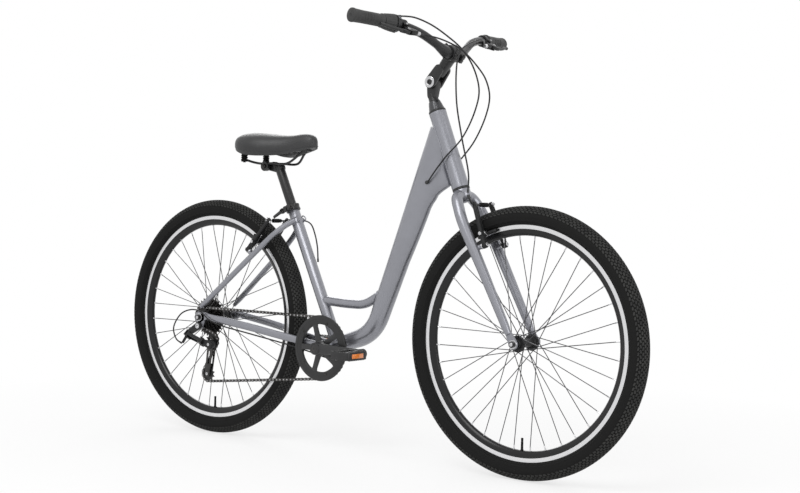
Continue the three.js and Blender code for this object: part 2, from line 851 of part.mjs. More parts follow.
function bottomBracketShell() {
  const half = shellWidth / 2;
  const inner = spindleRadius + fitGap;
  const profile = [
    [inner, -half],
    [shellRadius, -half],
    [shellRadius, half],
    [inner, half],
    [inner, half - shellCup],
    [shellBore, half - shellCup],
    [shellBore, shellCup - half],
    [inner, shellCup - half],
  ];
  return turned(profile, 16).translate(...crankCentre);
}

// A stay through [forward, up, outward] shares of its run from the rear axle, with flattened ends
function stay(shares, run, size, outward) {
  const points = shares.map(
    ([along, up, out]) =>
      new THREE.Vector3(rear + along * run.forward, outward * out * stayOut, axleHeight + up * run.up),
  );
  const curve = new THREE.CatmullRomCurve3(points, false, "centripetal");
  return sweep(curve, evenly(8), staySides, size);
}

const stayOut = (rearHub.spacing + dropout.thickness) / 2;
const chainstayRun = { forward: crankX - rear, up: bottomBracketDrop };
const seatstayTop = alongSeat(seatstay.joint);
const seatstayRun = { forward: seatstayTop[0] - rear, up: seatstayTop[2] - axleHeight };

// The outline of the plate that holds the rear axle
const dropoutOutline = (swell) =>
  taperedOutline(
    [0, 0],
    dropout.radius + swell,
    [dropoutHorn.forward, dropoutHorn.up],
    dropoutHorn.radius + swell,
    4,
  );

function dropoutPlate(side) {
  const low = side > 0 ? rearHub.spacing / 2 : -rearHub.spacing / 2 - dropout.thickness;
  const high = low + dropout.thickness;
  const slot = crossRod(0, 0, dropout.slot, low - overrun, high + overrun, 10);
  const mouthPlace = [0, (low + high) / 2, -dropout.mouth / 2];
  const mouth = block(2 * dropout.slot, dropout.thickness + overrun, dropout.mouth, mouthPlace);
  mouth.rotateY(slotTurn);
  const pieces = [plate(dropoutOutline(0), low, high)];
  if (side < 0) {
    const root = [hanger.rootForward, 0];
    const lobe = taperedOutline(root, hanger.rootRadius, [hanger.forward, -hanger.down], hanger.radius, 4);
    pieces.push(plate(lobe, low, high));
  }
  return cut(join(...pieces), slot, mouth).translate(...rearCentre);
}

function chainstayOf(side) {
  const size = (share) => [
    blend(chainstay.tipWidth, chainstay.width, Math.min(share * 3, 1)) / 2,
    blend(chainstay.tipHeight, chainstay.height, Math.min(share * 3, 1)) / 2,
  ];
  const tube = stay(chainstayShares, chainstayRun, size, side);
  const whole = cut(join(tube, dropoutPlate(side)), shellClearance(), downTubeSkin(fitGap));
  if (side > 0) return whole;
  const [x, z] = [rear + hanger.forward, axleHeight - hanger.down];
  const inside = overrun - rearHub.spacing / 2;
  return cut(whole, crossRod(x, z, hanger.bolt + fitGap, -rearHub.spacing, inside, 12));
}

function seatstayOf(side) {
  const tube = stay(seatstayShares, seatstayRun, () => [seatstay.radius, seatstay.radius], side);
  const inside = rearHub.spacing / 2 - dropout.room;
  const depth = dropout.thickness + 2 * dropout.room;
  const near = side > 0 ? inside : -inside - depth;
  const clear = plate(dropoutOutline(fitGap), near, near + depth).translate(...rearCentre);
  const foot = [-rearBossDepth, -side * (brakeStudSpread + rearBossSpread), 0];
  const mount = brakeMount(foot, -side).applyMatrix4(brakeFrame(rearCentre, rearBrakeAngle, true));
  return cut(join(tube, mount), clear, seatTubeRoom());
}

// A boss from a foot in the stay or blade, with the stud that a brake arm turns on
function brakeMount(foot, side) {
  const spread = side * brakeStudSpread;
  const boss = rod(foot, [-bossReach, spread, 0], bossRadius, 8);
  const stud = rod([-bossReach - lap, spread, 0], [studReach, spread, 0], studRadius, 8);
  return join(boss, stud);
}

// Rim brakes: x along the studs away from the stays, z away from the axle
function brakeFrame(centre, angle, turnedRound) {
  const frame = new THREE.Matrix4().makeRotationY(Math.PI / 2 - angle);
  if (turnedRound) frame.multiply(new THREE.Matrix4().makeRotationZ(Math.PI));
  const foot = [
    centre[0] + brakeStudRadius * Math.cos(angle),
    0,
    centre[2] + brakeStudRadius * Math.sin(angle),
  ];
  return frame.setPosition(...foot);
}

// The pad and its stem, which runs out through the arm
function brakePad(side) {
  const inside = rimWidth / 2 + pad.gap;
  const outside = inside + pad.depth;
  const wheel = [0, -brakeStudRadius];
  const [from, to] = [(Math.PI - padTurn) / 2, (Math.PI + padTurn) / 2];
  const outline = [...arc(wheel, padHigh, from, to, 3), ...arc(wheel, padLow, to, from, 3)];
  const shoe = plate(outline, side > 0 ? inside : -outside, side > 0 ? outside : -inside);
  const level = (padLow + padHigh) / 2 - brakeStudRadius;
  const start = [0, side * (inside + 2 * lap), level];
  const end = [0, side * (brakeStudSpread + pad.stemOut), level];
  return [shoe, rod(start, end, pad.stem, 6)];
}

// The bent tube that ends the cable's housing, and the open rubber boot behind it
function noodleAndBoot(top, lean) {
  const bend = [
    [0, boot.start + boot.noodleIn, top],
    [0, -arm.topSpread, top],
    [0, noodle.turn - noodle.out, top + noodle.lift],
    [lean * noodleShares.lean, -noodle.out, top + noodle.bend],
    [lean, -noodle.out - lap, top + noodle.rise + lean * noodleShares.lift],
  ];
  const tube = rod([0, boot.start, top], [0, boot.end, top], boot.radius, 8);
  const bore = rod([0, boot.end - boot.depth, top], [0, boot.end + overrun, top], boot.bore, 8);
  return [hose(bend, noodle.radius, 6, 6), cut(tube, bore)];
}

function brakeArm(side, frame, lean = 0) {
  const half = arm.thick / 2;
  const foot = [side * brakeStudSpread, 0];
  const tip = [side * arm.topSpread, arm.length];
  const body = plate(taperedOutline(foot, arm.boss, tip, arm.tip, 3), -half, half).rotateZ(Math.PI / 2);
  const hole = rod([-arm.thick, foot[0], 0], [arm.thick, foot[0], 0], studRadius + fitGap, 8);
  const pieces = [body, ...brakePad(side)];
  const top = arm.length - arm.bolt;
  if (side < 0) {
    pieces.push(...noodleAndBoot(top, lean));
  } else {
    const reach = half + arm.clampOut;
    pieces.push(rod([0, boot.end - boot.wireIn, top], [0, arm.topSpread, top], wireRadius, 6));
    pieces.push(rod([-reach, arm.topSpread, top], [reach, arm.topSpread, top], arm.clamp, 6));
  }
  return cut(join(...pieces), hole).applyMatrix4(frame);
}

// Fork with its steerer, in the steering frame
function forkBlade(side) {
  const points = bladePathShares.map(
    ([along, out, up]) => new THREE.Vector3(along * forkRake, side * out * bladeSpread, up * forkLength),
  );
  const curve = new THREE.CatmullRomCurve3(points, false, "centripetal");
  const size = (share) => {
    const here = blend(bladeTopRadius, bladeTipRadius, share ** 1.5);
    return [here, here];
  };
  const reach = frontHub.spacing / 2;
  const low = side > 0 ? reach : -reach - forkDropout.thickness;
  const neck = [forkRake - forkDropout.back, forkDropout.rise];
  const shape = taperedOutline([forkRake, 0], forkDropout.radius, neck, forkDropout.neck, 4);
  const foot = [-frontBossDepth, side * (brakeStudSpread + frontBossSpread), -frontBossDrop];
  const toSteering = steeringFrame.clone().invert();
  toSteering.multiply(brakeFrame(frontCentre, frontBrakeAngle, false));
  return [
    sweep(curve, bladeRingShares, bladeSides, size, forward),
    plate(shape, low, low + forkDropout.thickness),
    brakeMount(foot, side).applyMatrix4(toSteering),
  ];
}

function fork() {
  const steererTop = headTop + headsetStack + coneHeight - steererInset;
  const steerer = rod([0, 0, forkLength - steererFoot], [0, 0, steererTop], steererRadius, 14);
  const crownLow = forkLength - crownHeight;
  const crown = [
    [0, crownLow - crownFoot.drop],
    [crownFoot.radius, crownLow - crownFoot.edge],
    [crownRadius, crownLow],
    [crownRadius, forkLength],
    [0, forkLength],
  ];
  const race = sleeve(steererRadius - lap, headTubeRadius, forkLength - lap, headBottom - fitGap);
  const turnedPieces = [crown, race].map((profile) => turnedUpright(profile, 14));
  const whole = join(steerer, ...turnedPieces, ...forkBlade(-1), ...forkBlade(1));
  const slot = crossRod(forkRake, 0, forkDropout.slot, -frontHub.spacing, frontHub.spacing, 10);
  const mouthPlace = [forkRake, 0, -forkDropout.mouth / 2];
  const mouth = block(2 * forkDropout.slot, 2 * frontHub.spacing, forkDropout.mouth, mouthPlace);
  const bore = rod([0, 0, headTop - steererBoreDepth], [0, 0, steererTop + overrun], steererBore, 12);
  return cut(whole, slot, mouth, bore).applyMatrix4(steeringFrame);
}

function headsetCone() {
  const inner = steererRadius + fitGap;
  const low = headTop + fitGap;
  const profile = [
    [inner, low],
    [headTubeRadius, low],
    [headTubeRadius, low + headsetStack],
    [headTubeRadius - cone.step, low + headsetStack + cone.stepHeight],
    [coneTopRadius + cone.shoulder, low + coneHeight - cone.shoulderDrop],
    [coneTopRadius, low + headsetStack + coneHeight],
    [inner, low + headsetStack + coneHeight],
  ];
  return turnedUpright(profile, 16).applyMatrix4(steeringFrame);
}

// Stem: a base on the steerer and an arm that tilts on a bolt
const stemPivotLocal = [stemPivotForward, 0, headTop + stemPivotAbove];
const stemPivot = steered(stemPivotLocal);
const barCentre = [
  stemPivot[0] + stemLength * Math.cos(stemAngle),
  0,
  stemPivot[2] + stemLength * Math.sin(stemAngle),
];

function stemBase() {
  const low = headTop + headsetStack + coneHeight + 2 * fitGap;
  const [x, , z] = stemPivotLocal;
  const lug = stemLugWidth / 2;
  const shaft = rod([0, 0, low], [0, 0, z - stemShaft.inset], stemShaft.radius, 14);
  const quill = rod([0, 0, low - stemQuillDepth], [0, 0, low + 2 * lap], stemQuillRadius, 12);
  const neckFoot = [stemNeck.forward, z - stemNeck.drop];
  const neck = plate(taperedOutline(neckFoot, stemNeck.radius, [x, z], stemBoss, 5), -lug, lug);
  const hole = crossRod(x, z, pivotBoltRadius + fitGap, -lug - lap, lug + lap, 12);
  return cut(join(shaft, quill, neck), hole).applyMatrix4(steeringFrame);
}

function stemPivotBolt() {
  const inside = stemLugWidth / 2 + fitGap + stemCheek;
  const half = [
    [pivotBoltRadius, inside + fitGap],
    [washerRadius, inside + fitGap],
    [washerRadius, inside + fitGap + washerThickness],
    [0, inside + fitGap + washerThickness],
  ];
  return turned([...backToFront(half), ...half], 14).translate(...stemPivot);
}

const clampBore = barCentreRadius + fitGap;
const clampOuter = clampBore + clampWall;

function clampHalf(ahead) {
  const ring = turned(sleeve(clampBore, clampOuter, -clampWidth / 2, clampWidth / 2), 18);
  const depth = clampLug.depth - fitGap;
  const middle = (ahead ? 1 : -1) * (fitGap + depth / 2);
  const level = clampOuter - clampLug.sink + clampLug.height / 2;
  const lugs = [1, -1].map((side) => block(depth, clampWidth, clampLug.height, [middle, 0, side * level]));
  const size = 4 * clampOuter;
  const away = block(size, size, size, [(ahead ? -1 : 1) * (size / 2 - fitGap), 0, 0]);
  return cut(join(ring, ...lugs), away);
}

function stemArm() {
  const low = stemLugWidth / 2 + fitGap;
  const high = low + stemCheek;
  const pieces = [];
  for (const side of [-1, 1]) {
    const from = side > 0 ? low : -high;
    const outline = taperedOutline([0, 0], stemBoss, [stemCheekReach, 0], stemCheekTip, 5);
    pieces.push(plate(outline, from, from + stemCheek));
  }
  const bodyEnd = stemLength - clampBore - stemBody.inset;
  const straight = new THREE.LineCurve3(vector([stemBody.start, 0, 0]), vector([bodyEnd, 0, 0]));
  const size = (share) => [
    blend(high, high + stemBody.widen, share),
    blend(stemBody.depth, stemBody.endDepth, share),
  ];
  pieces.push(sweep(straight, [0, 1], 12, size));
  pieces.push(clampHalf(false).translate(stemLength, 0, 0));
  const hole = crossRod(0, 0, pivotBoltRadius + fitGap, -clampWidth, clampWidth, 12);
  const lugRoom = crossRod(0, 0, stemBoss + stemBossRoom, -low, low, 14);
  const barRoom = crossRod(stemLength, 0, clampBore, -clampWidth, clampWidth, 18);
  const made = cut(join(...pieces), hole, lugRoom, barRoom).rotateY(-stemAngle).translate(...stemPivot);
  return cut(made, barSkin(fitGap));
}

function stemFaceplate() {
  const half = clampHalf(true).translate(stemLength, 0, 0).rotateY(-stemAngle);
  return cut(half.translate(...stemPivot), barSkin(fitGap));
}

function barCurve() {
  const half = barPathShares.map(([across, back, up]) => [
    barCentre[0] + barSweep * back,
    barHalfWidth * across,
    barCentre[2] + barRise * up,
  ]);
  const right = half.slice(1).reverse().map(([x, y, z]) => [x, -y, z]);
  return new THREE.CatmullRomCurve3([...right, ...half].map(vector), false, "centripetal");
}

const barPath = barCurve();

function barSkin(swell) {
  const size = (share) => {
    const across = Math.abs(barPath.getPointAt(share).y);
    const narrowing = THREE.MathUtils.clamp((across - barCentreHalf) / barTaper, 0, 1);
    const here = blend(barCentreRadius, barRadius, narrowing) + swell;
    return [here, here];
  };
  return sweep(barPath, evenly(20), 12, size, upward);
}

// The point of the handlebar at a distance out from the middle
function barAt(across) {
  let low = 0;
  let high = 1;
  for (let step = 0; step < 30; step++) {
    const middle = (low + high) / 2;
    if (barPath.getPointAt(middle).y < across) low = middle;
    else high = middle;
  }
  return { point: barPath.getPointAt(low), ahead: barPath.getTangentAt(low) };
}

// A sleeve round the bar between two places; a bore makes its room wider than the bar
function barSleeve(inner, outer, radius, endRadius, sides, bore = 0) {
  const from = barAt(inner).point;
  const to = barAt(outer).point;
  const run = to.clone().sub(from).normalize();
  const over = Math.abs(outer) >= barHalfWidth ? gripCap : 0;
  const end = to.clone().addScaledVector(run, over);
  const body = rod(from.toArray(), end.toArray(), radius, sides, endRadius, upward);
  if (!bore) return cut(body, barSkin(fitGap));
  const low = from.clone().addScaledVector(run, -overrun);
  const high = to.clone().addScaledVector(run, overrun);
  return cut(body, rod(low.toArray(), high.toArray(), bore, sides, bore, upward));
}

const rightGripStart = barHalfWidth - rightGripLength;
const leftGripStart = barHalfWidth - leftGripLength;
const shifterStart = rightGripStart - sleeveGap - shifterLength;
const housingStart = shifterStart - sleeveGap - shifterHousingLength;

// Brake lever and its perch, made for the left side: x forward and down, y outward, z up from the bar
function controlFrame(across) {
  const { point, ahead } = barAt(across);
  const up = new THREE.Vector3(Math.sin(controlTilt), 0, Math.cos(controlTilt));
  const out = ahead.clone();
  const ahead2 = out.clone().cross(up).normalize();
  const normal = ahead2.clone().cross(out);
  return new THREE.Matrix4().makeBasis(ahead2, out, normal).setPosition(point);
}

const adjusterLine = perch.pivotForward - perchPlate.width / 2;
const adjusterEnd = -perchPlate.inboard - barrel.length;

function brakePerch(across, side) {
  const inner = barRadius + fitGap;
  const ring = turned(sleeve(inner, inner + perch.wall, -perch.width / 2, perch.width / 2), 12);
  const half = perch.thick / 2;
  const nose = perch.pivotForward + perchNose.forward;
  const outline = [
    [perchPlate.near, -perchPlate.near],
    [perchPlate.near, perchPlate.outboard],
    [perch.pivotForward, perchPlate.outboard],
    [nose, perchNose.out],
    [nose, -perchNose.in],
    [perch.pivotForward, -perchPlate.inboard],
    [perch.pivotForward - perchPlate.width, -perchPlate.inboard],
  ];
  const slotPlace = [perch.pivotForward + perchSlot.forward, perchSlot.out, 0];
  const slot = block(perchSlot.length, perchSlot.width, lever.thick + 2 * fitGap, slotPlace);
  const pin = rod([perch.pivotForward, 0, -half], [perch.pivotForward, 0, half], leverBolt, 8);
  const screwStart = [adjusterLine, perchPlate.near - perchPlate.inboard, 0];
  const screw = rod(screwStart, [adjusterLine, adjusterEnd, 0], barrel.radius, 10);
  const bore = crossRod(0, 0, inner, -2 * perch.width, 2 * perch.width, 12);
  const body = cut(join(ring, plateFlat(outline, -half, half)), slot, bore);
  const made = join(body, pin, screw).applyMatrix4(controlFrame(across));
  const whole = cut(made, barSkin(fitGap));
  return side > 0 ? whole : mirrored(whole);
}

// An outline of [x, y] points as a plate between two heights
function plateFlat(outline, low, high) {
  const shape = new THREE.Shape(outline.map(([x, y]) => new THREE.Vector2(x, y)));
  const geometry = new THREE.ExtrudeGeometry(shape, { depth: high - low, bevelEnabled: false });
  return geometry.translate(0, 0, low);
}

function brakeLever(across, side) {
  const x = perch.pivotForward;
  const half = lever.thick / 2;
  const rootOutline = arc([x, 0], lever.root, 0, 2 * Math.PI, 10).slice(0, -1);
  const path = leverPathShares.map(([bow, along]) => [x + bow * lever.length, along * lever.length, 0]);
  const curve = new THREE.CatmullRomCurve3(path.map(vector), false, "centripetal");
  const size = (share) => [half, blend(lever.start, lever.tip, Math.min(share * 2, 1))];
  const blade = sweep(curve, evenly(6), 6, size, upward);
  const hole = rod([x, 0, -lever.thick], [x, 0, lever.thick], leverBolt + fitGap, 8);
  const made = cut(join(plateFlat(rootOutline, -half, half), blade), hole);
  const whole = made.applyMatrix4(controlFrame(across));
  return side > 0 ? whole : mirrored(whole);
}

// Saddle: rings from the back to the nose, with a crown, drawn-in sides and a hollow underneath
function saddle() {
  const rings = saddleShares.map(([along, wide, topDrop, skirtDrop]) => {
    const half = wide * saddleHalfSpan;
    const x = saddleStart + along * saddleLength;
    const top = saddleTop - topDrop * saddleDepth;
    const skirt = saddleTop - skirtDrop * saddleDepth;
    const under = Math.max(saddleTop - saddleUnderside, skirt);
    const side = (sign) =>
      saddleSideShares.slice(1).map(([across, down]) => [sign * across * half, blend(top, skirt, down)]);
    const lip = saddleSideShares.at(-1)[0] * half - Math.min(skirtThickness, half * skirtShare);
    const outline = [
      ...side(-1).reverse(),
      [0, top],
      ...side(1),
      [lip, skirt],
      [lip, under],
      [-lip, under],
      [-lip, skirt],
    ];
    return outline.reverse().map(([y, z]) => new THREE.Vector3(x, y, z));
  });
  return loft(rings);
}

const saddleWidths = saddleShares.map(([along, wide]) => [along * saddleLength, wide * saddleHalfSpan]);
const clampCentre = [seatpostHead[0] - saddleClamp.back, 0, saddleTop - railLevel - saddleClamp.drop];

// A rail from the nose, along the clamp and up into the cushion of its side
function saddleRail(side, low) {
  const start = saddleStart;
  const level = saddleTop - railLevel;
  const route = [
    [start + railNose.forward, side * railNose.spread, low + railNose.sink],
    [start + railNose.bendForward, side * railNose.bendSpread, low - railNose.bendDrop],
    ...railShares.map((share) => [start + share * saddleLength, side * railSpread, level]),
    [
      start + bumper.forward + railTail.forward,
      side * (bumper.spread - railTail.inward),
      level + railTail.rise,
    ],
    [start + bumper.forward, side * bumper.spread, level + railTail.end],
  ];
  return hose(route, railRadius, 12, 6);
}

function saddleBaseBody() {
  const half = evenly(8).map((share) => {
    const along = blend(saddleBase.rear, saddleBase.front, share);
    const across = valueAt(saddleWidths, along) * saddleSideShares.at(-1)[0];
    return [saddleStart + along, across - skirtThickness - saddleBase.room];
  });
  const outline = [...half.map(([x, y]) => [x, -y]), ...half.reverse()];
  const top = saddleTop - saddleUnderside - fitGap;
  const low = top - saddleBase.thick;
  const pieces = [plateFlat(outline, low, top)];
  const [x, , z] = clampCentre;
  const near = saddleClamp.width / 2 + fitGap;
  const far = near + saddleClamp.cheek;
  for (const side of [-1, 1]) {
    const [bumperX, bumperY] = [saddleStart + bumper.forward, side * bumper.spread];
    const foot = [bumperX, bumperY, saddleTop - bumper.bottom];
    pieces.push(saddleRail(side, low));
    pieces.push(rod(foot, [bumperX, bumperY, low + 2 * lap], bumper.radius, 8));
    pieces.push(crossRod(x, z, saddleClamp.radius, side > 0 ? near : -far, side > 0 ? far : -near, 12));
  }
  pieces.push(crossRod(x, z, saddleClamp.bolt, -saddleClamp.width, saddleClamp.width, 8));
  return join(...pieces);
}

function seatpost() {
  const post = rod(alongSeat(seatTubeLength - seatpostDepth), seatpostHead, seatpostRadius, 14);
  const half = saddleClamp.width / 2;
  const [x, , z] = clampCentre;
  const headLow = alongSeat(seatTubeLength + seatpostTop - seatpostHeadInset);
  const foot = [headLow[0], headLow[2]];
  const outline = taperedOutline(foot, seatpostHeadRadius, [x, z], saddleClamp.neck, 4);
  const neck = plate(outline, -half, half);
  const hole = crossRod(x, z, saddleClamp.bolt + fitGap, -half - lap, half + lap, 8);
  return cut(join(post, neck), hole);
}

// Seat collar and its lever; z runs up the seat tube from the level of the cranks
const seatFrame = new THREE.Matrix4().makeRotationY(seatAngle - Math.PI / 2).setPosition(...seatFoot);
const collarMiddle = (seatCollar.low + seatCollar.high) / 2;
const collarSide = -(seatCollar.lugIn + seatCollar.lugOut) / 2;

const collarEnd = -(seatCollar.lug + seatLever.cam + fitGap);
const collarPlace = (x, out = 0, up = 0) => [x, collarSide + out, collarMiddle + up];

function seatCollarBody() {
  const inner = seatTubeRadius + fitGap;
  const ring = turnedUpright(sleeve(inner, inner + seatCollar.wall, seatCollar.low, seatCollar.high), 16);
  const depth = seatCollar.lugOut - seatCollar.lugIn;
  const clamp = block(2 * seatCollar.lug, depth, seatCollar.high - seatCollar.low, collarPlace(0));
  const bore = rod([0, 0, seatCollar.low - lap], [0, 0, seatCollar.high + lap], inner, 16);
  const slitPlace = collarPlace(0, collarSlit.out);
  const slit = block(2 * collarSlit.half, collarSlit.depth, collarSlit.height, slitPlace);
  const { lug: clampEnd } = seatCollar;
  const { pin, nut, nutLength, reach } = seatSkewer;
  const { cam } = seatLever;
  const whole = join(
    cut(join(ring, clamp), bore, slit),
    rod(collarPlace(collarEnd), collarPlace(clampEnd + reach), pin, 8),
    rod(collarPlace(clampEnd - lap), collarPlace(clampEnd + nutLength), nut, 6),
    rod(collarPlace(collarEnd, 0, -cam), collarPlace(collarEnd, 0, cam), pin, 8),
  );
  return whole.applyMatrix4(seatFrame);
}

function seatLeverBody() {
  const { disc: radius, half, cam, length, slot } = seatLever;
  const bore = seatSkewer.pin + fitGap;
  const disc = rod(collarPlace(collarEnd, 0, -half), collarPlace(collarEnd, 0, half), radius, 12);
  const roomHeight = 2 * bore;
  const room = block(4 * cam, 4 * cam, roomHeight, collarPlace(collarEnd + slot));
  const roomEnd = block(2 * radius, 4 * cam, roomHeight, collarPlace(collarEnd));
  const [holeLow, holeHigh] = [-half - overrun, half + overrun];
  const hole = rod(collarPlace(collarEnd, 0, holeLow), collarPlace(collarEnd, 0, holeHigh), bore, 8);
  const path = [
    collarPlace(collarEnd - leverBlade.start),
    collarPlace(collarEnd - length * leverBlade.middleShare, leverBlade.bow),
    collarPlace(collarEnd - length, leverBlade.tipOut),
  ];
  const curve = new THREE.CatmullRomCurve3(path.map(vector), false, "centripetal");
  const size = (share) => [leverBlade.thick, blend(leverBlade.half, leverBlade.tipHalf, share)];
  const blade = sweep(curve, evenly(4), 8, size);
  return cut(join(cut(disc, room), blade), hole, roomEnd).applyMatrix4(seatFrame);
}

// Toothed wheels: gapTurn is the direction of one gap between two teeth
const pathRadius = (teeth) => (teeth * chainPitch) / (2 * Math.PI);

function toothed(teeth, gapTurn, corners) {
  const root = pathRadius(teeth) - toothRoot;
  const points = [];
  for (let tooth = 0; tooth < teeth; tooth++)
    for (const [share, rise] of corners) {
      const angle = gapTurn + (2 * Math.PI * (tooth + share)) / teeth;
      const radius = root + rise * toothHeight;
      points.push([radius * Math.cos(angle), radius * Math.sin(angle)]);
    }
  return points;
}

const pointedCorners = [
  [0, 0],
  [0.5, 1],
];
const squareCorners = [
  [0, 0],
  [0.42, 1],
  [0.58, 1],
];

// The chain's route over its wheels, seen from the drive side: centre, teeth, turning direction, line
const upperPulleyCentre = [rear + upperPulley.forward, axleHeight - upperPulley.down];
const lowerPulleyCentre = [rear + lowerPulley.forward, axleHeight - lowerPulley.down];
const route = [
  { centre: [crankX, crankZ], teeth: chainringTeeth, turn: 1, line: chainringLine },
  { centre: [rear, axleHeight], teeth: sprocketTeeth[0], turn: 1, line: firstSprocketLine },
  { centre: upperPulleyCentre, teeth: pulleyTeeth, turn: -1, line: pulleyLine },
  { centre: lowerPulleyCentre, teeth: pulleyTeeth, turn: 1, line: pulleyLine },
];

function chainSpans() {
  const headings = route.map((wheel, index) => {
    const next = route[(index + 1) % route.length];
    const [dx, dz] = [next.centre[0] - wheel.centre[0], next.centre[1] - wheel.centre[1]];
    const lean = wheel.turn * pathRadius(wheel.teeth) - next.turn * pathRadius(next.teeth);
    return Math.atan2(dz, dx) + Math.asin(lean / Math.hypot(dx, dz));
  });
  const spans = [];
  let start = 0;
  route.forEach((wheel, index) => {
    const radius = pathRadius(wheel.teeth);
    const before = headings[(index + route.length - 1) % route.length];
    const after = headings[index];
    let sweepAngle = wheel.turn * (after - before);
    while (sweepAngle < 0) sweepAngle += 2 * Math.PI;
    while (sweepAngle >= 2 * Math.PI) sweepAngle -= 2 * Math.PI;
    const arcLength = radius * sweepAngle;
    spans.push({ kind: "arc", wheel, radius, before, start, length: arcLength });
    start += arcLength;
    const next = route[(index + 1) % route.length];
    const from = onWheel(wheel, after);
    const to = onWheel(next, after);
    const length = Math.hypot(to[0] - from[0], to[1] - from[1]);
    spans.push({ kind: "line", from, heading: after, lines: [wheel.line, next.line], start, length });
    start += length;
  });
  return { spans, total: start };
}

function onWheel(wheel, heading) {
  const reach = wheel.turn * pathRadius(wheel.teeth);
  return [wheel.centre[0] + reach * Math.sin(heading), wheel.centre[1] - reach * Math.cos(heading)];
}

const chainRoute = chainSpans();
const chainLinks = 2 * Math.round(chainRoute.total / chainPitch / 2);
const linkStep = chainRoute.total / chainLinks;

function chainPlace(distance) {
  const span = chainRoute.spans.findLast(({ start }) => distance >= start);
  const along = distance - span.start;
  if (span.kind === "arc") {
    const heading = span.before + (span.wheel.turn * along) / span.radius;
    return { point: onWheel(span.wheel, heading), heading, line: span.wheel.line };
  }
  const point = [
    span.from[0] + along * Math.cos(span.heading),
    span.from[1] + along * Math.sin(span.heading),
  ];
  const drift = (along - chain.straight) / (span.length - 2 * chain.straight);
  const line = blend(...span.lines, THREE.MathUtils.clamp(drift, 0, 1));
  return { point, heading: span.heading, line };
}

// The direction in which a wheel has the roller nearest to the middle of its wrap
function gapOf(wheel) {
  const span = chainRoute.spans.find((candidate) => candidate.wheel === wheel);
  const link = Math.round((span.start + span.length / 2) / linkStep);
  const { point } = chainPlace(link * linkStep);
  return Math.atan2(point[1] - wheel.centre[1], point[0] - wheel.centre[0]);
}

// Chain: two rows of side plates joined by a roller at every pitch
function chainBody() {
  const points = [];
  const faces = [];
  const perPin = 12;
  for (let link = 0; link < chainLinks; link++) {
    const { point, heading, line } = chainPlace(link * linkStep);
    const ahead = [Math.cos(heading), Math.sin(heading)];
    const outward = [-Math.sin(heading), Math.cos(heading)];
    const place = (along, rise, across) =>
      new THREE.Vector3(
        point[0] + along * ahead[0] + rise * outward[0],
        across - line,
        point[1] + along * ahead[1] + rise * outward[1],
      );
    for (const side of [-1, 1]) {
      points.push(place(0, chain.halfHeight, side * chain.inner));
      points.push(place(0, -chain.halfHeight, side * chain.inner));
      points.push(place(-chain.roller, 0, side * chain.inner));
      points.push(place(chain.roller, 0, side * chain.inner));
      points.push(place(0, chain.halfHeight, side * chain.outer));
      points.push(place(0, -chain.halfHeight, side * chain.outer));
    }
    const here = link * perPin;
    const next = ((link + 1) % chainLinks) * perPin;
    for (const side of [0, 1]) {
      const a = here + side * 6;
      const b = next + side * 6;
      const band = [
        [a, b, b + 2],
        [a, b + 2, a + 3],
        [a + 3, b + 2, a + 1],
        [a + 1, b + 2, b + 1],
        [a + 4, b + 5, b + 4],
        [a + 4, a + 5, b + 5],
        [a, b + 4, b],
        [a, a + 4, b + 4],
        [a + 1, b + 1, b + 5],
        [a + 1, b + 5, a + 5],
      ];
      band.forEach(([p, q, r]) => (side ? faces.push(p, r, q) : faces.push(p, q, r)));
    }
    const ringOrder = [0, 3, 1, 2];
    ringOrder.forEach((corner, index) => {
      const other = ringOrder[(index + 1) % 4];
      faces.push(here + corner, here + other, here + 6 + other);
      faces.push(here + corner, here + 6 + other, here + 6 + corner);
    });
  }
  const geometry = new THREE.BufferGeometry();
  geometry.setFromPoints(points);
  geometry.setIndex(faces);
  return geometry;
}

function freewheel() {
  const half = sprocketThickness / 2;
  const tip = (teeth) => pathRadius(teeth) - toothRoot + toothHeight;
  const bossEnd = -rearHub.right - flangeThickness / 2 - freewheelBossLength;
  const inner = lockNutRadius + freewheelRoom;
  const outside = -firstSprocketLine - half - lap;
  const steps = sprocketTeeth.slice(1).map((teeth, index) => {
    const line = (index + 1) * sprocketStep - firstSprocketLine;
    return [tip(teeth), line - half];
  });
  const stairs = steps.flatMap(([radius, y], index) => {
    const before = index ? steps[index - 1][0] : sprocketCore;
    return [
      [before, y],
      [radius, y],
    ];
  });
  const end = steps.at(-1)[1] + 2 * half;
  const body = turned(
    [
      [inner, outside],
      [sprocketCore, outside],
      ...stairs,
      [steps.at(-1)[0], end],
      [freewheelBoss + fitGap, end],
      [freewheelBoss + fitGap, bossEnd - fitGap],
      [inner, bossEnd - fitGap],
    ],
    20,
  );
  const hole = arc([0, 0], sprocketCore - sprocketSeat, 0, 2 * Math.PI, 10).slice(0, -1).reverse();
  const outline = toothed(sprocketTeeth[0], gapOf(route[1]), pointedCorners);
  const smallest = plate(outline, -firstSprocketLine - half, half - firstSprocketLine, [hole]);
  return join(body, smallest).translate(...rearCentre);
}

// Cranks turn about the bottom bracket; the right one points forward
const crankFace = crankOut + crankFlare + crankBossOut;

function crankArm() {
  const boss = crossRod(0, 0, crankBoss, -crankOut - crankBossOut, -crankOut + crankBossIn, 14);
  const start = -crankOut - crankBar.line;
  const line = new THREE.LineCurve3(vector([0, start, 0]), vector([crankLength, start - crankFlare, 0]));
  const size = (share) => [crankWidth / 2, blend(crankBar.rootHalf, crankBar.tipHalf, share)];
  const bar = sweep(line, [0, 1], 8, size);
  const tip = crossRod(crankLength, 0, crankTip, -crankFace, -crankFace + crankWidth + lap, 12);
  const holeEnd = overrun - crankOut;
  const hole = crossRod(crankLength, 0, boreFor(pedalAxle.radius, 10), -crankFace - overrun, holeEnd, 10);
  return cut(join(boss, bar, tip), hole);
}

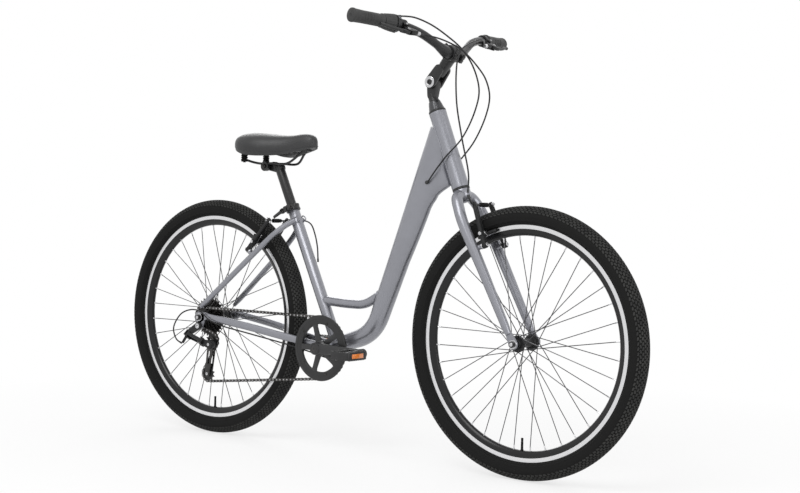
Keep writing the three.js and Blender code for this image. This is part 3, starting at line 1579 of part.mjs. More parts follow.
function crankRight() {
  const pieces = [crankArm(), crossRod(0, 0, spider.hub, -crankOut, -spider.inside, 14)];
  const reach = chainringBore - spider.inset;
  for (let index = 0; index < spider.arms; index++) {
    const outline = [
      [0, -spider.half],
      [reach, -spider.half],
      [reach, spider.half],
      [0, spider.half],
    ];
    const turn = (2 * Math.PI * index) / spider.arms + spiderTurn;
    pieces.push(plate(outline, -guard.outside, -spider.inside).rotateY(turn));
  }
  const bore = crossRod(0, 0, spindleRadius + fitGap, -crankOut - spindleOut, 0, 12);
  return cut(join(...pieces), bore).translate(...crankCentre);
}

function crankLeft() {
  const spindle = crossRod(0, 0, spindleRadius, fitGap - crankOut - spindleOut, crankOut, 12);
  return join(mirrored(crankArm()).rotateY(Math.PI), spindle).translate(...crankCentre);
}

function chainring() {
  const half = sprocketThickness / 2;
  const turn = Math.PI / 24;
  const hole = arc([0, 0], chainringBore, turn, 2 * Math.PI + turn, 24).slice(0, -1).reverse();
  const teeth = plate(
    toothed(chainringTeeth, gapOf(route[0]), squareCorners),
    -chainringLine - half,
    -chainringLine + half,
    [hole],
  );
  const ring = turned(
    [
      [chainringBore, -guard.outside],
      [guard.outer, -guard.outside],
      [guard.outer, -guard.inside],
      [guard.seat, -guard.inside],
      [guard.seat, -chainringLine],
      [chainringBore, -chainringLine],
    ],
    24,
  );
  return join(teeth, ring).translate(...crankCentre);
}

function pedalBody(side) {
  const half = pedal.width / 2;
  const tall = pedal.thick / 2;
  const outline = [
    [half, pedal.chamfer - tall],
    [half, tall - pedal.chamfer],
    [half - pedal.chamfer, tall],
    [pedal.chamfer - half, tall],
    [-half, tall - pedal.chamfer],
    [-half, pedal.chamfer - tall],
    [pedal.chamfer - half, -tall],
    [half - pedal.chamfer, -tall],
  ];
  const start = -pedal.start;
  const end = start - pedal.length;
  const body = plate(outline, end, start);
  const reach = half - pedal.wall - pedalAxle.barrel;
  const windows = [-1, 1].map((way) =>
    block(reach, pedal.length - 2 * pedal.wall, pedal.thick + overrun, [
      way * (pedalAxle.barrel + reach / 2),
      (start + end) / 2,
      0,
    ]),
  );
  const stubEnd = pedalAxle.sink - crankFace + crankWidth;
  const stub = crossRod(0, 0, pedalAxle.radius, start - 2 * lap, stubEnd, 10);
  const collar = crossRod(0, 0, pedalAxle.radius + pedalAxle.collar, start - lap, -crankFace - fitGap, 10);
  const whole = join(cut(body, ...windows), stub, collar);
  const made = side < 0 ? whole : mirrored(whole);
  return made.translate(crankX - side * crankLength, 0, crankZ);
}

// Rear derailleur. The swing frame has x along the links, y across them and z along their pins.
const linkAhead = new THREE.Vector3(Math.cos(linkFall), 0, -Math.sin(linkFall));
const linkAbove = new THREE.Vector3(Math.sin(linkFall), 0, Math.cos(linkFall));
const linkPins = linkAbove
  .clone()
  .multiplyScalar(Math.cos(linkSlant))
  .addScaledVector(sideways, Math.sin(linkSlant));
const linkAcross = linkPins.clone().cross(linkAhead);
const swingFoot = [rear - knuckleB.back, -knuckleB.out, axleHeight - knuckleB.down];
const swingFrame = new THREE.Matrix4().makeBasis(linkAhead, linkAcross, linkPins).setPosition(...swingFoot);

const linkHalf = link.pinHalf - lug.thick;
const linkRoomHeight = 2 * (linkHalf + fitGap);

// Two ears with the pins of both links between them, and the wall that joins the ears
function pinLug(x, way) {
  const pieces = [];
  const width = 2 * (link.spread + lug.spread);
  const thick = lug.thick - fitGap;
  const level = linkHalf + fitGap + thick / 2;
  const pinEnd = link.pinHalf - lap;
  for (const side of [-1, 1]) {
    const y = side * link.spread;
    pieces.push(block(lug.length, width, thick, [x, 0, side * level]));
    pieces.push(rod([x, y, -pinEnd], [x, y, pinEnd], link.pin, 6));
  }
  pieces.push(block(lug.wall, width, 2 * link.pinHalf, [x + way * lug.wallOut, 0, 0]));
  return join(...pieces);
}

// The room that the links need between the ears, round a middle along them
const linkSpace = (middle) =>
  block(linkRoom.length, linkRoom.width, linkRoomHeight, [middle, 0, 0]).applyMatrix4(swingFrame);

function derailleurKnuckleB() {
  const x = rear + hanger.forward;
  const z = axleHeight - hanger.down;
  const near = -rearHub.spacing / 2 - dropout.thickness - fitGap;
  const bolt = crossRod(x, z, hanger.bolt, near - 2 * lap, near + dropout.thickness + lap, 8);
  const back = vector(swingFoot).addScaledVector(linkAhead, -knuckleB.inset);
  const outline = taperedOutline([x, z], knuckleB.boss, [back.x, back.z], knuckleB.tail, 4);
  const body = plate(outline, near - knuckleB.thick, near);
  const screwStart = [back.x + adjuster.in, -knuckleB.out - adjuster.in, back.z - adjuster.in];
  const screwEnd = [back.x - adjuster.back, -knuckleB.out - adjuster.out, back.z - adjuster.down];
  const screw = rod(screwStart, screwEnd, barrel.radius, 8);
  const room = linkSpace(linkRoom.length / 2 - linkRoom.in);
  return join(cut(body, room), bolt, pinLug(0, -1).applyMatrix4(swingFrame), screw);
}

function derailleurLink(side) {
  const y = side * link.spread;
  const pieces = [block(link.length, link.thick, 2 * linkHalf - link.slack, [link.length / 2, y, 0])];
  const holes = [];
  for (const x of [0, link.length]) {
    pieces.push(rod([x, y, -linkHalf], [x, y, linkHalf], link.eye, 8));
    holes.push(rod([x, y, -2 * link.pinHalf], [x, y, 2 * link.pinHalf], boreFor(link.pin, 6), 6));
  }
  return cut(join(...pieces), ...holes).applyMatrix4(swingFrame);
}

const cageCentre = [rear + cagePivot.forward, axleHeight - cagePivot.down];
const cageOutside = pulleyLine + cage.inside + cage.plate;

function derailleurKnuckleP() {
  const [x, z] = cageCentre;
  const { out, radius, cap, neck: neckHalf } = knuckleP;
  const drum = crossRod(x, z, radius, -out - cap, -cageOutside - fitGap, 12);
  const foot = new THREE.Vector3(link.length + lug.wallOut, 0, 0).applyMatrix4(swingFrame);
  const outline = taperedOutline([x, z], radius, [foot.x, foot.z], knuckleB.tail, 4);
  const neck = plate(outline, -out - neckHalf, -out + neckHalf);
  const room = linkSpace(link.length + linkRoom.out - linkRoom.length / 2);
  const bore = crossRod(x, z, cagePivot.pin + fitGap, -out, 0, 8);
  const lugs = pinLug(link.length, 1).applyMatrix4(swingFrame);
  return cut(join(lugs, cut(join(drum, neck), room)), bore);
}

function derailleurCage() {
  const near = pulleyLine + cage.inside;
  const far = -pulleyLine + cage.inside;
  const strip = taperedOutline(upperPulleyCentre, cage.top, lowerPulleyCentre, cage.bottom, 5);
  const lobe = taperedOutline(upperPulleyCentre, cage.top, cageCentre, cagePivot.radius, 5);
  const pieces = [
    join(plate(strip, -near - cage.plate, -near), plate(lobe, -near - cage.plate, -near)),
    plate(strip, far, far + cage.plate),
    crossRod(...cageCentre, cagePivot.pin, lap - knuckleP.out, -near - lap, 8),
  ];
  for (const centre of [upperPulleyCentre, lowerPulleyCentre])
    pieces.push(crossRod(...centre, pulleyBolt, -near - lap, far + lap, 8));
  return join(...pieces);
}

function jockey(wheel) {
  const half = sprocketThickness / 2;
  const centre = [wheel.centre[0], -pulleyLine, wheel.centre[1]];
  const teeth = plate(toothed(pulleyTeeth, gapOf(wheel), pointedCorners), -half, half);
  const hub = crossRod(0, 0, pulleyHub, fitGap - cage.inside, cage.inside - fitGap, 10);
  const bore = crossRod(0, 0, pulleyBolt + fitGap, -2 * cage.inside, 2 * cage.inside, 8);
  return cut(join(teeth, hub), bore).translate(...centre);
}

// Cables, each a hose through points [forward of the rear axle, outward to the left, up]
const fromRearAxle = (points) => points.map(([x, y, z]) => [rear + x, y, z]);

function leverEnd(across, side) {
  const point = new THREE.Vector3(adjusterLine, adjusterEnd - 2 * lap, 0);
  const { x, y, z } = point.applyMatrix4(controlFrame(across));
  return [x - rear, side * y, z];
}

const frontBrakeRoute = [
  leverEnd(leftControl, 1),
  [858, 100, 1128],
  [862, 40, 1113],
  [863, -8, 1088],
  [862, -22, 1058],
  [871, -34, 957],
  [896, -42, 861],
  [925, -50, 765],
  [927, -54, 721],
];
const rearBrakeRoute = [
  leverEnd(rightControl, -1),
  [868, -105, 1106],
  [909, -70, 1080],
  [942, -40, 1035],
  [951, -20, 1007],
  [950, 0, 967],
  [934, 10, 921],
  [895, 20, 858],
  [850, 30, 814],
  [800, 31, 768],
  [778, 25.5, 744],
];
const shiftRoute = [
  [797, -191.6, 1157.5],
  [806, -175, 1159],
  [822, -155, 1157],
  [849, -120, 1141],
  [879, -85, 1112],
  [902, -60, 1084],
  [929, -48, 1040],
  [944, -40, 981],
  [930, -34, 931],
  [881, -20, 860],
  [838, -30, 812],
  [800, -31, 768],
  [778, -25.5, 744],
];
const rearBrakeRearRoute = [
  [261.1, 53.9, 631.4],
  [290, 51, 635],
  [325, 40, 626],
  [352, 27, 598],
  [368, 20, 562],
  [374, 17, 522],
];
const shiftRearRoute = [
  [512, -14, 282],
  [475, -13, 261],
  [440, -14, 258],
  [398, -22, 268],
  [330, -37, 284],
  [180, -58, 310],
  [80, -73, 328],
  [44, -80, 342],
  [14, -84, 363],
  [-25, -84, 366],
  [-64, -87, 350],
  [-88, -91, 308],
  [-76, -90, 276],
  [-56.2, -88.6, 266.1],
];

// Assembly
const bicycle = new THREE.Group();
bicycle.name = "step_through_bicycle";

add(bicycle, "head_tube", "paint", headTube());
add(bicycle, "down_tube", "paint", downTube());
add(bicycle, "cross_tube", "paint", crossTube());
add(bicycle, "seat_tube", "paint", seatTube());
add(bicycle, "bottom_bracket_shell", "paint", bottomBracketShell());
add(bicycle, "chainstay_right", "paint", chainstayOf(-1));
add(bicycle, "chainstay_left", "paint", chainstayOf(1));
add(bicycle, "seatstay_right", "paint", seatstayOf(-1));
add(bicycle, "seatstay_left", "paint", seatstayOf(1));
add(bicycle, "seat_collar", "black", seatCollarBody());
add(bicycle, "seat_lever", "black", seatLeverBody());
add(bicycle, "seatpost", "black", seatpost());
add(bicycle, "saddle_base", "black", saddleBaseBody());
add(bicycle, "saddle", "leather", saddle());

add(bicycle, "fork", "paint", fork());
add(bicycle, "headset_cone", "darkSteel", headsetCone());
add(bicycle, "stem_base", "black", stemBase());
add(bicycle, "stem_pivot_bolt", "steel", stemPivotBolt());
add(bicycle, "stem_arm", "black", stemArm());
add(bicycle, "stem_faceplate", "black", stemFaceplate());
add(bicycle, "handlebar", "black", barSkin(0));
const twistBore = boreFor(barRadius + twistRoom, 14);
const rightGrip = barSleeve(-rightGripStart, -barHalfWidth, gripRadius, gripEndRadius, 12);
const leftGrip = barSleeve(leftGripStart, barHalfWidth, gripRadius, gripEndRadius, 12);
const twistEnd = rightGripStart - sleeveGap;
const housingEnd = shifterStart - sleeveGap;
const twistGrip = barSleeve(-shifterStart, -twistEnd, shifterRadius, twistEndRadius, 14, twistBore);
const shifterShell = barSleeve(-housingStart, -housingEnd, shifterRadius - housingStep, shifterRadius, 14);
add(bicycle, "grip_right", "rubber", rightGrip);
add(bicycle, "grip_left", "rubber", leftGrip);
add(bicycle, "twist_grip", "rubber", twistGrip);
add(bicycle, "shifter_housing", "black", shifterShell);
add(bicycle, "brake_perch_right", "black", brakePerch(rightControl, -1));
add(bicycle, "brake_perch_left", "black", brakePerch(leftControl, 1));
add(bicycle, "brake_lever_right", "steel", brakeLever(rightControl, -1));
add(bicycle, "brake_lever_left", "steel", brakeLever(leftControl, 1));

const wheels = [
  { place: "front", centre: frontCentre, hub: frontHub, profile: frontHubBody(), holder: forkDropout },
  { place: "rear", centre: rearCentre, hub: rearHub, profile: rearHubBody(), holder: dropout },
];
for (const { place, centre, hub, profile, holder } of wheels) {
  add(bicycle, `${place}_axle`, "steel", axle(hub.spacing, holder.thickness).translate(...centre));
  add(bicycle, `${place}_tyre`, "rubber", tyre().translate(...centre));
  add(bicycle, `${place}_rim`, "rim", rim().translate(...centre));
  add(bicycle, `${place}_hub`, "darkSteel", lacedHub(hub, profile).translate(...centre));
}

const frontBrake = brakeFrame(frontCentre, frontBrakeAngle, false);
const rearBrake = brakeFrame(rearCentre, rearBrakeAngle, true);
add(bicycle, "front_brake_arm_right", "darkSteel", brakeArm(-1, frontBrake));
add(bicycle, "front_brake_arm_left", "darkSteel", brakeArm(1, frontBrake));
add(bicycle, "rear_brake_arm_left", "darkSteel", brakeArm(-1, rearBrake, rearNoodleLean));
add(bicycle, "rear_brake_arm_right", "darkSteel", brakeArm(1, rearBrake));

add(bicycle, "crank_right", "darkSteel", crankRight());
add(bicycle, "chainring", "darkSteel", chainring());
add(bicycle, "crank_left", "darkSteel", crankLeft());
add(bicycle, "pedal_right", "black", pedalBody(-1));
add(bicycle, "pedal_left", "black", pedalBody(1));
add(bicycle, "freewheel", "steel", freewheel());
add(bicycle, "chain", "darkSteel", join(chainBody()));
add(bicycle, "derailleur_knuckle_b", "darkSteel", derailleurKnuckleB());
add(bicycle, "derailleur_link_outer", "darkSteel", derailleurLink(-1));
add(bicycle, "derailleur_link_inner", "darkSteel", derailleurLink(1));
add(bicycle, "derailleur_knuckle_p", "darkSteel", derailleurKnuckleP());
add(bicycle, "derailleur_cage", "steel", derailleurCage());
add(bicycle, "jockey_upper", "black", jockey(route[2]));
add(bicycle, "jockey_lower", "black", jockey(route[3]));

const cables = [
  { name: "front_brake_cable", points: frontBrakeRoute, steps: 16 },
  { name: "rear_brake_cable_front", points: rearBrakeRoute, steps: 18 },
  { name: "shift_cable_front", points: shiftRoute, steps: 20 },
  { name: "rear_brake_cable_rear", points: rearBrakeRearRoute, steps: 10 },
  { name: "shift_cable_rear", points: shiftRearRoute, steps: 24 },
];
for (const { name, points, steps } of cables)
  add(bicycle, name, "black", hose(fromRearAxle(points), cableRadius, steps));

export default bicycle;
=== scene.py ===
# Step-through bicycle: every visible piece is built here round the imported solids, in their frame.
# Lengths are millimetres and become metres in at(); +X is forward, +Y the rider's left, +Z up.
import math
import bmesh
import bpy
from mathutils import Matrix, Vector


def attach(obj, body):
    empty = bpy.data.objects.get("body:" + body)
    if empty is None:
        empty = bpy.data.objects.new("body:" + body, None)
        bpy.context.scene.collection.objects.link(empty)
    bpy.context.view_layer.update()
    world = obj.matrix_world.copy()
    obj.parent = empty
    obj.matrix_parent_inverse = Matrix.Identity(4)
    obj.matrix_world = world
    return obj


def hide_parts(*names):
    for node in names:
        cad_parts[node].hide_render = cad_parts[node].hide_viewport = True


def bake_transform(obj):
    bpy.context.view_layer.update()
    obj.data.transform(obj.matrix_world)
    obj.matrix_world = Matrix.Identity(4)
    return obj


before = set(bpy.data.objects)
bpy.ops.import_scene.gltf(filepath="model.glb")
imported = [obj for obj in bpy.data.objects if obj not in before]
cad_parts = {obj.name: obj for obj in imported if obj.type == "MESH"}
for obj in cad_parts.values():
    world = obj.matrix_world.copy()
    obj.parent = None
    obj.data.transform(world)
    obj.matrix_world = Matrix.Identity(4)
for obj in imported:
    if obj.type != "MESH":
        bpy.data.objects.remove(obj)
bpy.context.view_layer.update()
mm = 0.001
right, left = -1, 1
hands = {right: "right", left: "left"}
toLeft = Vector((0, 1, 0))
bike = {
    "rear": -537, "front": 537, "axle": 345, "crankX": -91.762, "crankZ": 287,
    "headAngle": 68, "seatAngle": 65, "rake": 46, "forkLength": 431, "stack": 5, "headTube": 213,
    "seatFoot": 24, "seatTube": 432, "stemPivot": (17, 0, 728), "stemAngle": 51.5, "stemLength": 93,
}


def at(x, y, z):
    return Vector((x, y, z)) * mm


def placeOf(origin, xWay, zWay):
    # a frame at an origin in millimetres, from the ways its x and z point
    zWay = Vector(zWay).normalized()
    xWay = (Vector(xWay) - zWay * zWay.dot(Vector(xWay))).normalized()
    place = Matrix((xWay, zWay.cross(xWay), zWay)).transposed().to_4x4()
    place.translation = at(*origin)
    return place


def along(origin, way):
    # z runs along a direction; x is any direction across it
    way = Vector(way).normalized()
    across = Vector((0, 0, 1)) if abs(way.z) < 0.9 else Vector((1, 0, 0))
    return placeOf(origin, across, way)


def shifted(place, x=0, y=0, z=0):
    return place @ Matrix.Translation(at(x, y, z))


def turnedAbout(place, degrees, axis="Z"):
    return place @ Matrix.Rotation(math.radians(degrees), 4, axis)


def point(place, x, y, z):
    # a point given in a frame, in millimetres of the bicycle's own frame
    return tuple((place @ at(x, y, z)) / mm)


def blend(a, b, share):
    return a + (b - a) * share


def heading(degrees):
    return Vector((math.cos(math.radians(degrees)), 0, math.sin(math.radians(degrees))))


# outlines seen from the drive side: x ahead, y up, z out to the right
sideways = placeOf((0, 0, 0), (1, 0, 0), (0, -1, 0))
headUp = heading(180 - bike["headAngle"])
headAhead = heading(90 - bike["headAngle"])
rakeBack = headAhead * bike["rake"]
steering = placeOf((bike["front"] - rakeBack.x, 0, bike["axle"] - rakeBack.z), headAhead, headUp)
headBottom = bike["forkLength"] + bike["stack"]
headTop = headBottom + bike["headTube"]
seatFoot = (bike["crankX"] + bike["seatFoot"], 0, bike["crankZ"])
seatPlace = placeOf(seatFoot, heading(90 - bike["seatAngle"]), heading(180 - bike["seatAngle"]))
crankCentre = (bike["crankX"], 0, bike["crankZ"])
stemPivot = point(steering, *bike["stemPivot"])
stemPlace = placeOf(stemPivot, heading(bike["stemAngle"]), heading(bike["stemAngle"] + 90))
barCentre = point(stemPlace, bike["stemLength"], 0, 0)

# the shapes that pieces are made of


def ringOf(bm, centre, across, deep, halfWidth, halfDepth, sides, under=None):
    place = Matrix((across * halfWidth, deep * halfDepth, across.cross(deep))).transposed().to_4x4()
    place.translation = centre
    turn = Matrix.Rotation(math.pi / sides, 4, "Z")
    made = bmesh.ops.create_circle(bm, segments=sides, radius=1, matrix=place @ turn)["verts"]
    if under:  # a different reach on the side that deep points to
        for vert in made:
            rise = (vert.co - centre).dot(deep)
            if rise > 0:
                vert.co += deep * rise * (under / halfDepth - 1)
    return made


def loopEdges(ring):
    inside = set(ring)
    return [e for e in {e for v in ring for e in v.link_edges} if inside.issuperset(e.verts)]


def skin(bm, rings, capped=True, closed=False):
    pairs = list(zip(rings, rings[1:])) + ([(rings[-1], rings[0])] if closed else [])
    loops = {id(ring): loopEdges(ring) for ring in rings}
    for first, second in pairs:
        bmesh.ops.bridge_loops(bm, edges=loops[id(first)] + loops[id(second)])
    if capped and not closed:
        for ring in (rings[0], rings[-1]):
            bmesh.ops.contextual_create(bm, geom=loops[id(ring)])
    return bm


def smoothPath(points, steps):
    # centripetal curve through points in millimetres, at even distances
    points = [Vector(p) for p in points]
    points = [points[0] * 2 - points[1]] + points + [points[-1] * 2 - points[-2]]
    fine = []
    for i in range(1, len(points) - 2):
        p = points[i - 1:i + 3]
        t = [0]
        for a, b in zip(p, p[1:]):
            t.append(t[-1] + max((b - a).length, 1e-6) ** 0.5)
        for step in range(24):
            now = blend(t[1], t[2], step / 24)
            a = [p[k].lerp(p[k + 1], (now - t[k]) / (t[k + 1] - t[k])) for k in range(3)]
            b = [a[k].lerp(a[k + 1], (now - t[k]) / (t[k + 2] - t[k])) for k in range(2)]
            fine.append(b[0].lerp(b[1], (now - t[1]) / (t[2] - t[1])))
    fine.append(points[-2])
    reach = [0]
    for a, b in zip(fine, fine[1:]):
        reach.append(reach[-1] + (b - a).length)
    found, index = [], 0
    for step in range(steps + 1):
        want = reach[-1] * step / steps
        while index < len(reach) - 2 and reach[index + 1] < want:
            index += 1
        found.append(fine[index].lerp(fine[index + 1],
                                      (want - reach[index]) / max(reach[index + 1] - reach[index], 1e-9)))
    return found


def sweep(points, size, sides=16, lateral=None, closed=False, under=None, capped=True):
    # a tube along points in millimetres; size is a radius or gives half the width and depth at a share
    bm = bmesh.new()
    points = [Vector(p) for p in points]
    rings, across = [], None
    for index, centre in enumerate(points):
        before = points[index - 1] if index or closed else centre
        after = points[(index + 1) % len(points)] if index + 1 < len(points) or closed else centre
        ahead = (after - before).normalized()
        guide = Vector(lateral) if lateral else across or ahead.orthogonal()
        across = (guide - ahead * ahead.dot(guide)).normalized()
        share = index / (len(points) - 1)
        here = size(share) if callable(size) else size
        half = here if isinstance(here, tuple) else (here, here)
        reach = under(share) * mm if under else None
        rings.append(ringOf(bm, centre * mm, across, ahead.cross(across), half[0] * mm, half[1] * mm, sides,
                            reach))
    return skin(bm, rings, capped, closed)


def rod(start, end, radius, sides):
    return sweep([start, end], radius, sides)


def lathe(profile, steps=48, closed=False):
    # a profile of (radius, height) turned about z
    bm = bmesh.new()
    verts = [bm.verts.new(at(radius, 0, height)) for radius, height in profile]
    pairs = list(zip(verts, verts[1:])) + ([(verts[-1], verts[0])] if closed else [])
    edges = [bm.edges.new(pair) for pair in pairs]
    bmesh.ops.spin(bm, geom=verts + edges, cent=(0, 0, 0), axis=(0, 0, 1), angle=math.tau, steps=steps,
                   use_merge=True)
    bmesh.ops.remove_doubles(bm, verts=bm.verts, dist=1e-6)
    return bm


def plate(outline, low, high, holes=(), bevel=0, segments=2):
    # an outline of (x, y) in millimetres, between two heights
    low, high = sorted((low, high))
    bm = bmesh.new()
    edges = []
    for loop in (outline, *holes):
        verts = [bm.verts.new(at(x, y, low)) for x, y in loop]
        edges += [bm.edges.new(pair) for pair in zip(verts, verts[1:] + verts[:1])]
    if holes:
        bmesh.ops.triangle_fill(bm, use_beauty=True, use_dissolve=True, edges=edges)
    else:
        bmesh.ops.contextual_create(bm, geom=edges)
    rise = bmesh.ops.extrude_face_region(bm, geom=list(bm.faces), use_keep_orig=True)
    risen = [part for part in rise["geom"] if isinstance(part, bmesh.types.BMVert)]
    bmesh.ops.translate(bm, vec=at(0, 0, high - low), verts=risen)
    bmesh.ops.recalc_face_normals(bm, faces=bm.faces)
    return rounded(bm, bevel, segments)


def block(width, depth, height, centre=(0, 0, 0), bevel=0, segments=2):
    bm = bmesh.new()
    size = Matrix.Diagonal((width * mm, depth * mm, height * mm, 1))
    bmesh.ops.create_cube(bm, size=1, matrix=Matrix.Translation(at(*centre)) @ size)
    return rounded(bm, bevel, segments)


def rounded(bm, bevel, segments=2, sharp=30):
    if bevel:
        bm.normal_update()
        edges = [e for e in bm.edges
                 if len(e.link_faces) == 2 and e.calc_face_angle(0) > math.radians(sharp)]
        bmesh.ops.bevel(bm, geom=edges, offset=bevel * mm, segments=segments, profile=0.5, affect="EDGES",
                        material=-1, clamp_overlap=True)
    return bm


def arc(centre, radius, start, end, steps):
    turns = [math.radians(blend(start, end, i / steps)) for i in range(steps + 1)]
    return [(centre[0] + radius * math.cos(turn), centre[1] + radius * math.sin(turn)) for turn in turns]


def circle(centre, radius, steps=24):
    return arc(centre, radius, 0, 360, steps)[:-1]


def linked(first, firstRadius, second, secondRadius, steps=12):
    # the outline round two circles and their outer tangents
    gap = Vector(second) - Vector(first)
    turn = math.degrees(math.atan2(gap.y, gap.x))
    lean = math.degrees(math.acos((firstRadius - secondRadius) / gap.length))
    back = arc(first, firstRadius, turn + lean, turn + 360 - lean, steps)
    return back + arc(second, secondRadius, turn - lean, turn + lean, steps)


def boltHead(radius=5, height=4, socket=2.4):
    floor = height - height * 0.75
    edge = [(radius * 0.86, height), (radius, height * 0.86), (radius, 0), (0, 0)]
    return lathe([(0, floor), (socket, floor), (socket, height), *edge], 20)


def hexNut(radius, height):
    return plate(circle((0, 0), radius, 6), 0, height, bevel=radius * 0.06)


class Piece:
    # collects shapes into one object; each shape takes one of the piece's finishes
    def __init__(self, name, *finishes):
        self.name, self.bm, self.finishes = name, bmesh.new(), finishes

    def take(self, made):
        # a shape whose faces already have their finishes
        carrier = bpy.data.meshes.new("carrier")
        made.to_mesh(carrier)
        made.free()
        self.bm.from_mesh(carrier)
        bpy.data.meshes.remove(carrier)
        return self

    def add(self, made, place=None, finish=0, pick=None):
        if place is not None:
            bmesh.ops.transform(made, matrix=place, verts=made.verts)
        bmesh.ops.recalc_face_normals(made, faces=made.faces)
        for face in made.faces:
            face.material_index = pick(face.calc_center_median() / mm) if pick else finish
        return self.take(made)

    def around(self, made, count, place, finish=0):
        # copies of a shape at even turns about z of a place
        for index in range(count):
            self.add(made.copy(), turnedAbout(place, 360 * index / count), finish)
        made.free()
        return self

    def done(self, body, slot, replaces=(), sharp=38, ride=True):
        mesh = bpy.data.meshes.new(self.name)
        self.bm.to_mesh(mesh)
        self.bm.free()
        for finish in self.finishes:
            mesh.materials.append(finish.material)
        mesh.shade_smooth()
        mesh.set_sharp_from_angle(angle=math.radians(sharp))
        made = bpy.data.objects.new(self.name, mesh)
        bpy.context.scene.collection.objects.link(made)
        if ride:
            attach(made, body)
        if replaces:
            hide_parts(*replaces)
        return made


# camera and studio
view = {
    "place": (2409, -3013, 670), "azimuth": 37.01, "elevation": 1.45, "roll": 1.34,
    "lens": 63.41, "sensor": 36, "reach": 60,
}


def makeCamera():
    a, e, r = (math.radians(view[k]) for k in ("azimuth", "elevation", "roll"))
    back = Vector((math.sin(a) * math.cos(e), -math.cos(a) * math.cos(e), math.sin(e)))
    side = (-back).cross(Vector((0, 0, 1))).normalized()
    up = side.cross(-back)
    rolledSide = side * math.cos(r) + up * math.sin(r)
    rolledUp = up * math.cos(r) - side * math.sin(r)
    camera = bpy.data.objects.new("camera", bpy.data.cameras.new("camera"))
    camera.data.lens, camera.data.sensor_width = view["lens"], view["sensor"]
    camera.data.clip_end = view["reach"]
    camera.matrix_world = Matrix((rolledSide, rolledUp, back)).transposed().to_4x4()
    camera.matrix_world.translation = at(*view["place"])
    bpy.context.scene.collection.objects.link(camera)
    bpy.context.scene.camera = camera


class Wire:
    # one output of a shader node; arithmetic on it adds Math nodes
    def __init__(self, nodes, socket):
        self.nodes, self.socket = nodes, socket

    def maths(self, operation, other):
        return self.nodes.node("Math", {"operation": operation}, {0: self, 1: other})

    def __add__(self, other):
        return self.maths("ADD", other)

    def __mul__(self, other):
        return self.maths("MULTIPLY", other)

    __radd__, __rmul__ = __add__, __mul__


class Nodes:
    # adds nodes to one tree: a node's settings first, then the values or links of its sockets
    def __init__(self, tree):
        self.tree = tree

    def feed(self, socket, value):
        if isinstance(value, Wire):
            self.tree.links.new(value.socket, socket)
        else:
            socket.default_value = value

    def node(self, kind, settings=None, inputs=None, output=0):
        made = self.tree.nodes.new("ShaderNode" + kind)
        for name, value in (settings or {}).items():
            setattr(made, name, value)
        for name, value in (inputs or {}).items():
            self.feed(made.inputs[name], value)
        return Wire(self, made.outputs[output])

    def range(self, value, low, high, start=0.35, end=0.65):
        return self.node("MapRange", {"clamp": True}, {0: value, 1: start, 2: end, 3: low, 4: high})

    def lookedAt(self):
        # 1 for what the camera sees, also in a reflection or through glass, and 0 for the lighting
        paths = self.node("LightPath").socket.node.outputs
        seen = Wire(self, paths["Is Camera Ray"]).maths("MAXIMUM", Wire(self, paths["Is Glossy Ray"]))
        return seen.maths("MAXIMUM", Wire(self, paths["Is Transmission Ray"]))


class Finish(Nodes):
    def __init__(self, name, color, roughness, metallic=0, **fixed):
        self.material = bpy.data.materials.new(name)
        self.material.use_nodes = True
        super().__init__(self.material.node_tree)
        self.shader = self.tree.nodes["Principled BSDF"]
        self.material.diffuse_color = (*color, 1)
        self.set(**{"Base Color": (*color, 1), "Roughness": roughness, "Metallic": metallic, **fixed})

    def set(self, **values):
        for name, value in values.items():
            self.feed(self.shader.inputs[name], value)

    def spot(self, centre=(0, 0, 0)):
        # object coordinates in metres from a centre in millimetres
        raw = self.node("TexCoord", output="Object")
        away = tuple(-c * mm for c in centre)
        return self.node("Mapping", {"vector_type": "POINT"}, {"Vector": raw, "Location": away})

    def noise(self, scale, detail):
        inputs = {"Vector": self.spot(), "Scale": scale, "Detail": detail, "Roughness": 0.6}
        return self.node("TexNoise", {}, inputs)

    def tint(self, share, first, second):
        return self.node("Mix", {"data_type": "RGBA"}, {0: share, 6: (*first, 1), 7: (*second, 1)}, 2)

    def bump(self, height, strength, distance):
        self.set(Normal=self.node("Bump", {}, {"Height": height, "Strength": strength,
                                               "Distance": distance * mm}))
        return self


def speckled(name, color, roughness, metallic=0, grain=900, depth=0.04, spread=0.12, **fixed):
    # an even surface with slight colour and gloss variation and a fine grain
    made = Finish(name, color, roughness, metallic, **fixed)
    darker, paler = [c * (1 - spread) for c in color], [min(1, c * (1 + spread)) for c in color]
    made.set(**{"Base Color": made.tint(made.range(made.noise(14, 4), 0, 1), darker, paler),
                "Roughness": made.range(made.noise(60, 3), roughness * 0.88, min(1, roughness * 1.14))})
    return made.bump(made.noise(grain, 2), 0.5, depth)


# finishes of this bicycle; the sheen is the share of plain reflection that a black surface keeps
dull = {"Specular IOR Level": 0.16}
soft = {"Specular IOR Level": 0.34}
sheen = {"Specular IOR Level": 0.5}
clear = {"Coat Weight": 0.45, "Coat Roughness": 0.12}
paint = speckled("silverPaint", (0.262, 0.266, 0.294), 0.33, 0.68, 2600, 0.012, 0.03, **clear)
blackPaint = speckled("satinBlack", (0.009, 0.009, 0.0095), 0.34, 0, 1400, 0.02, 0.1, **sheen)
glossBlack = speckled("glossBlack", (0.007, 0.007, 0.0075), 0.22, 0, 900, 0.012, 0.1, **soft)
castBlack = speckled("castBlack", (0.01, 0.01, 0.0105), 0.44, 0, 700, 0.05, 0.2, **soft)
blackPlastic = speckled("blackPlastic", (0.012, 0.012, 0.0125), 0.46, 0, 1100, 0.05, 0.12, **sheen)
greyCrank = speckled("darkCrank", (0.02, 0.02, 0.021), 0.4, 0, 1000, 0.03, 0.15, **sheen)
steel = speckled("brightSteel", (0.55, 0.55, 0.56), 0.24, 1, 800, 0.01, 0.06)
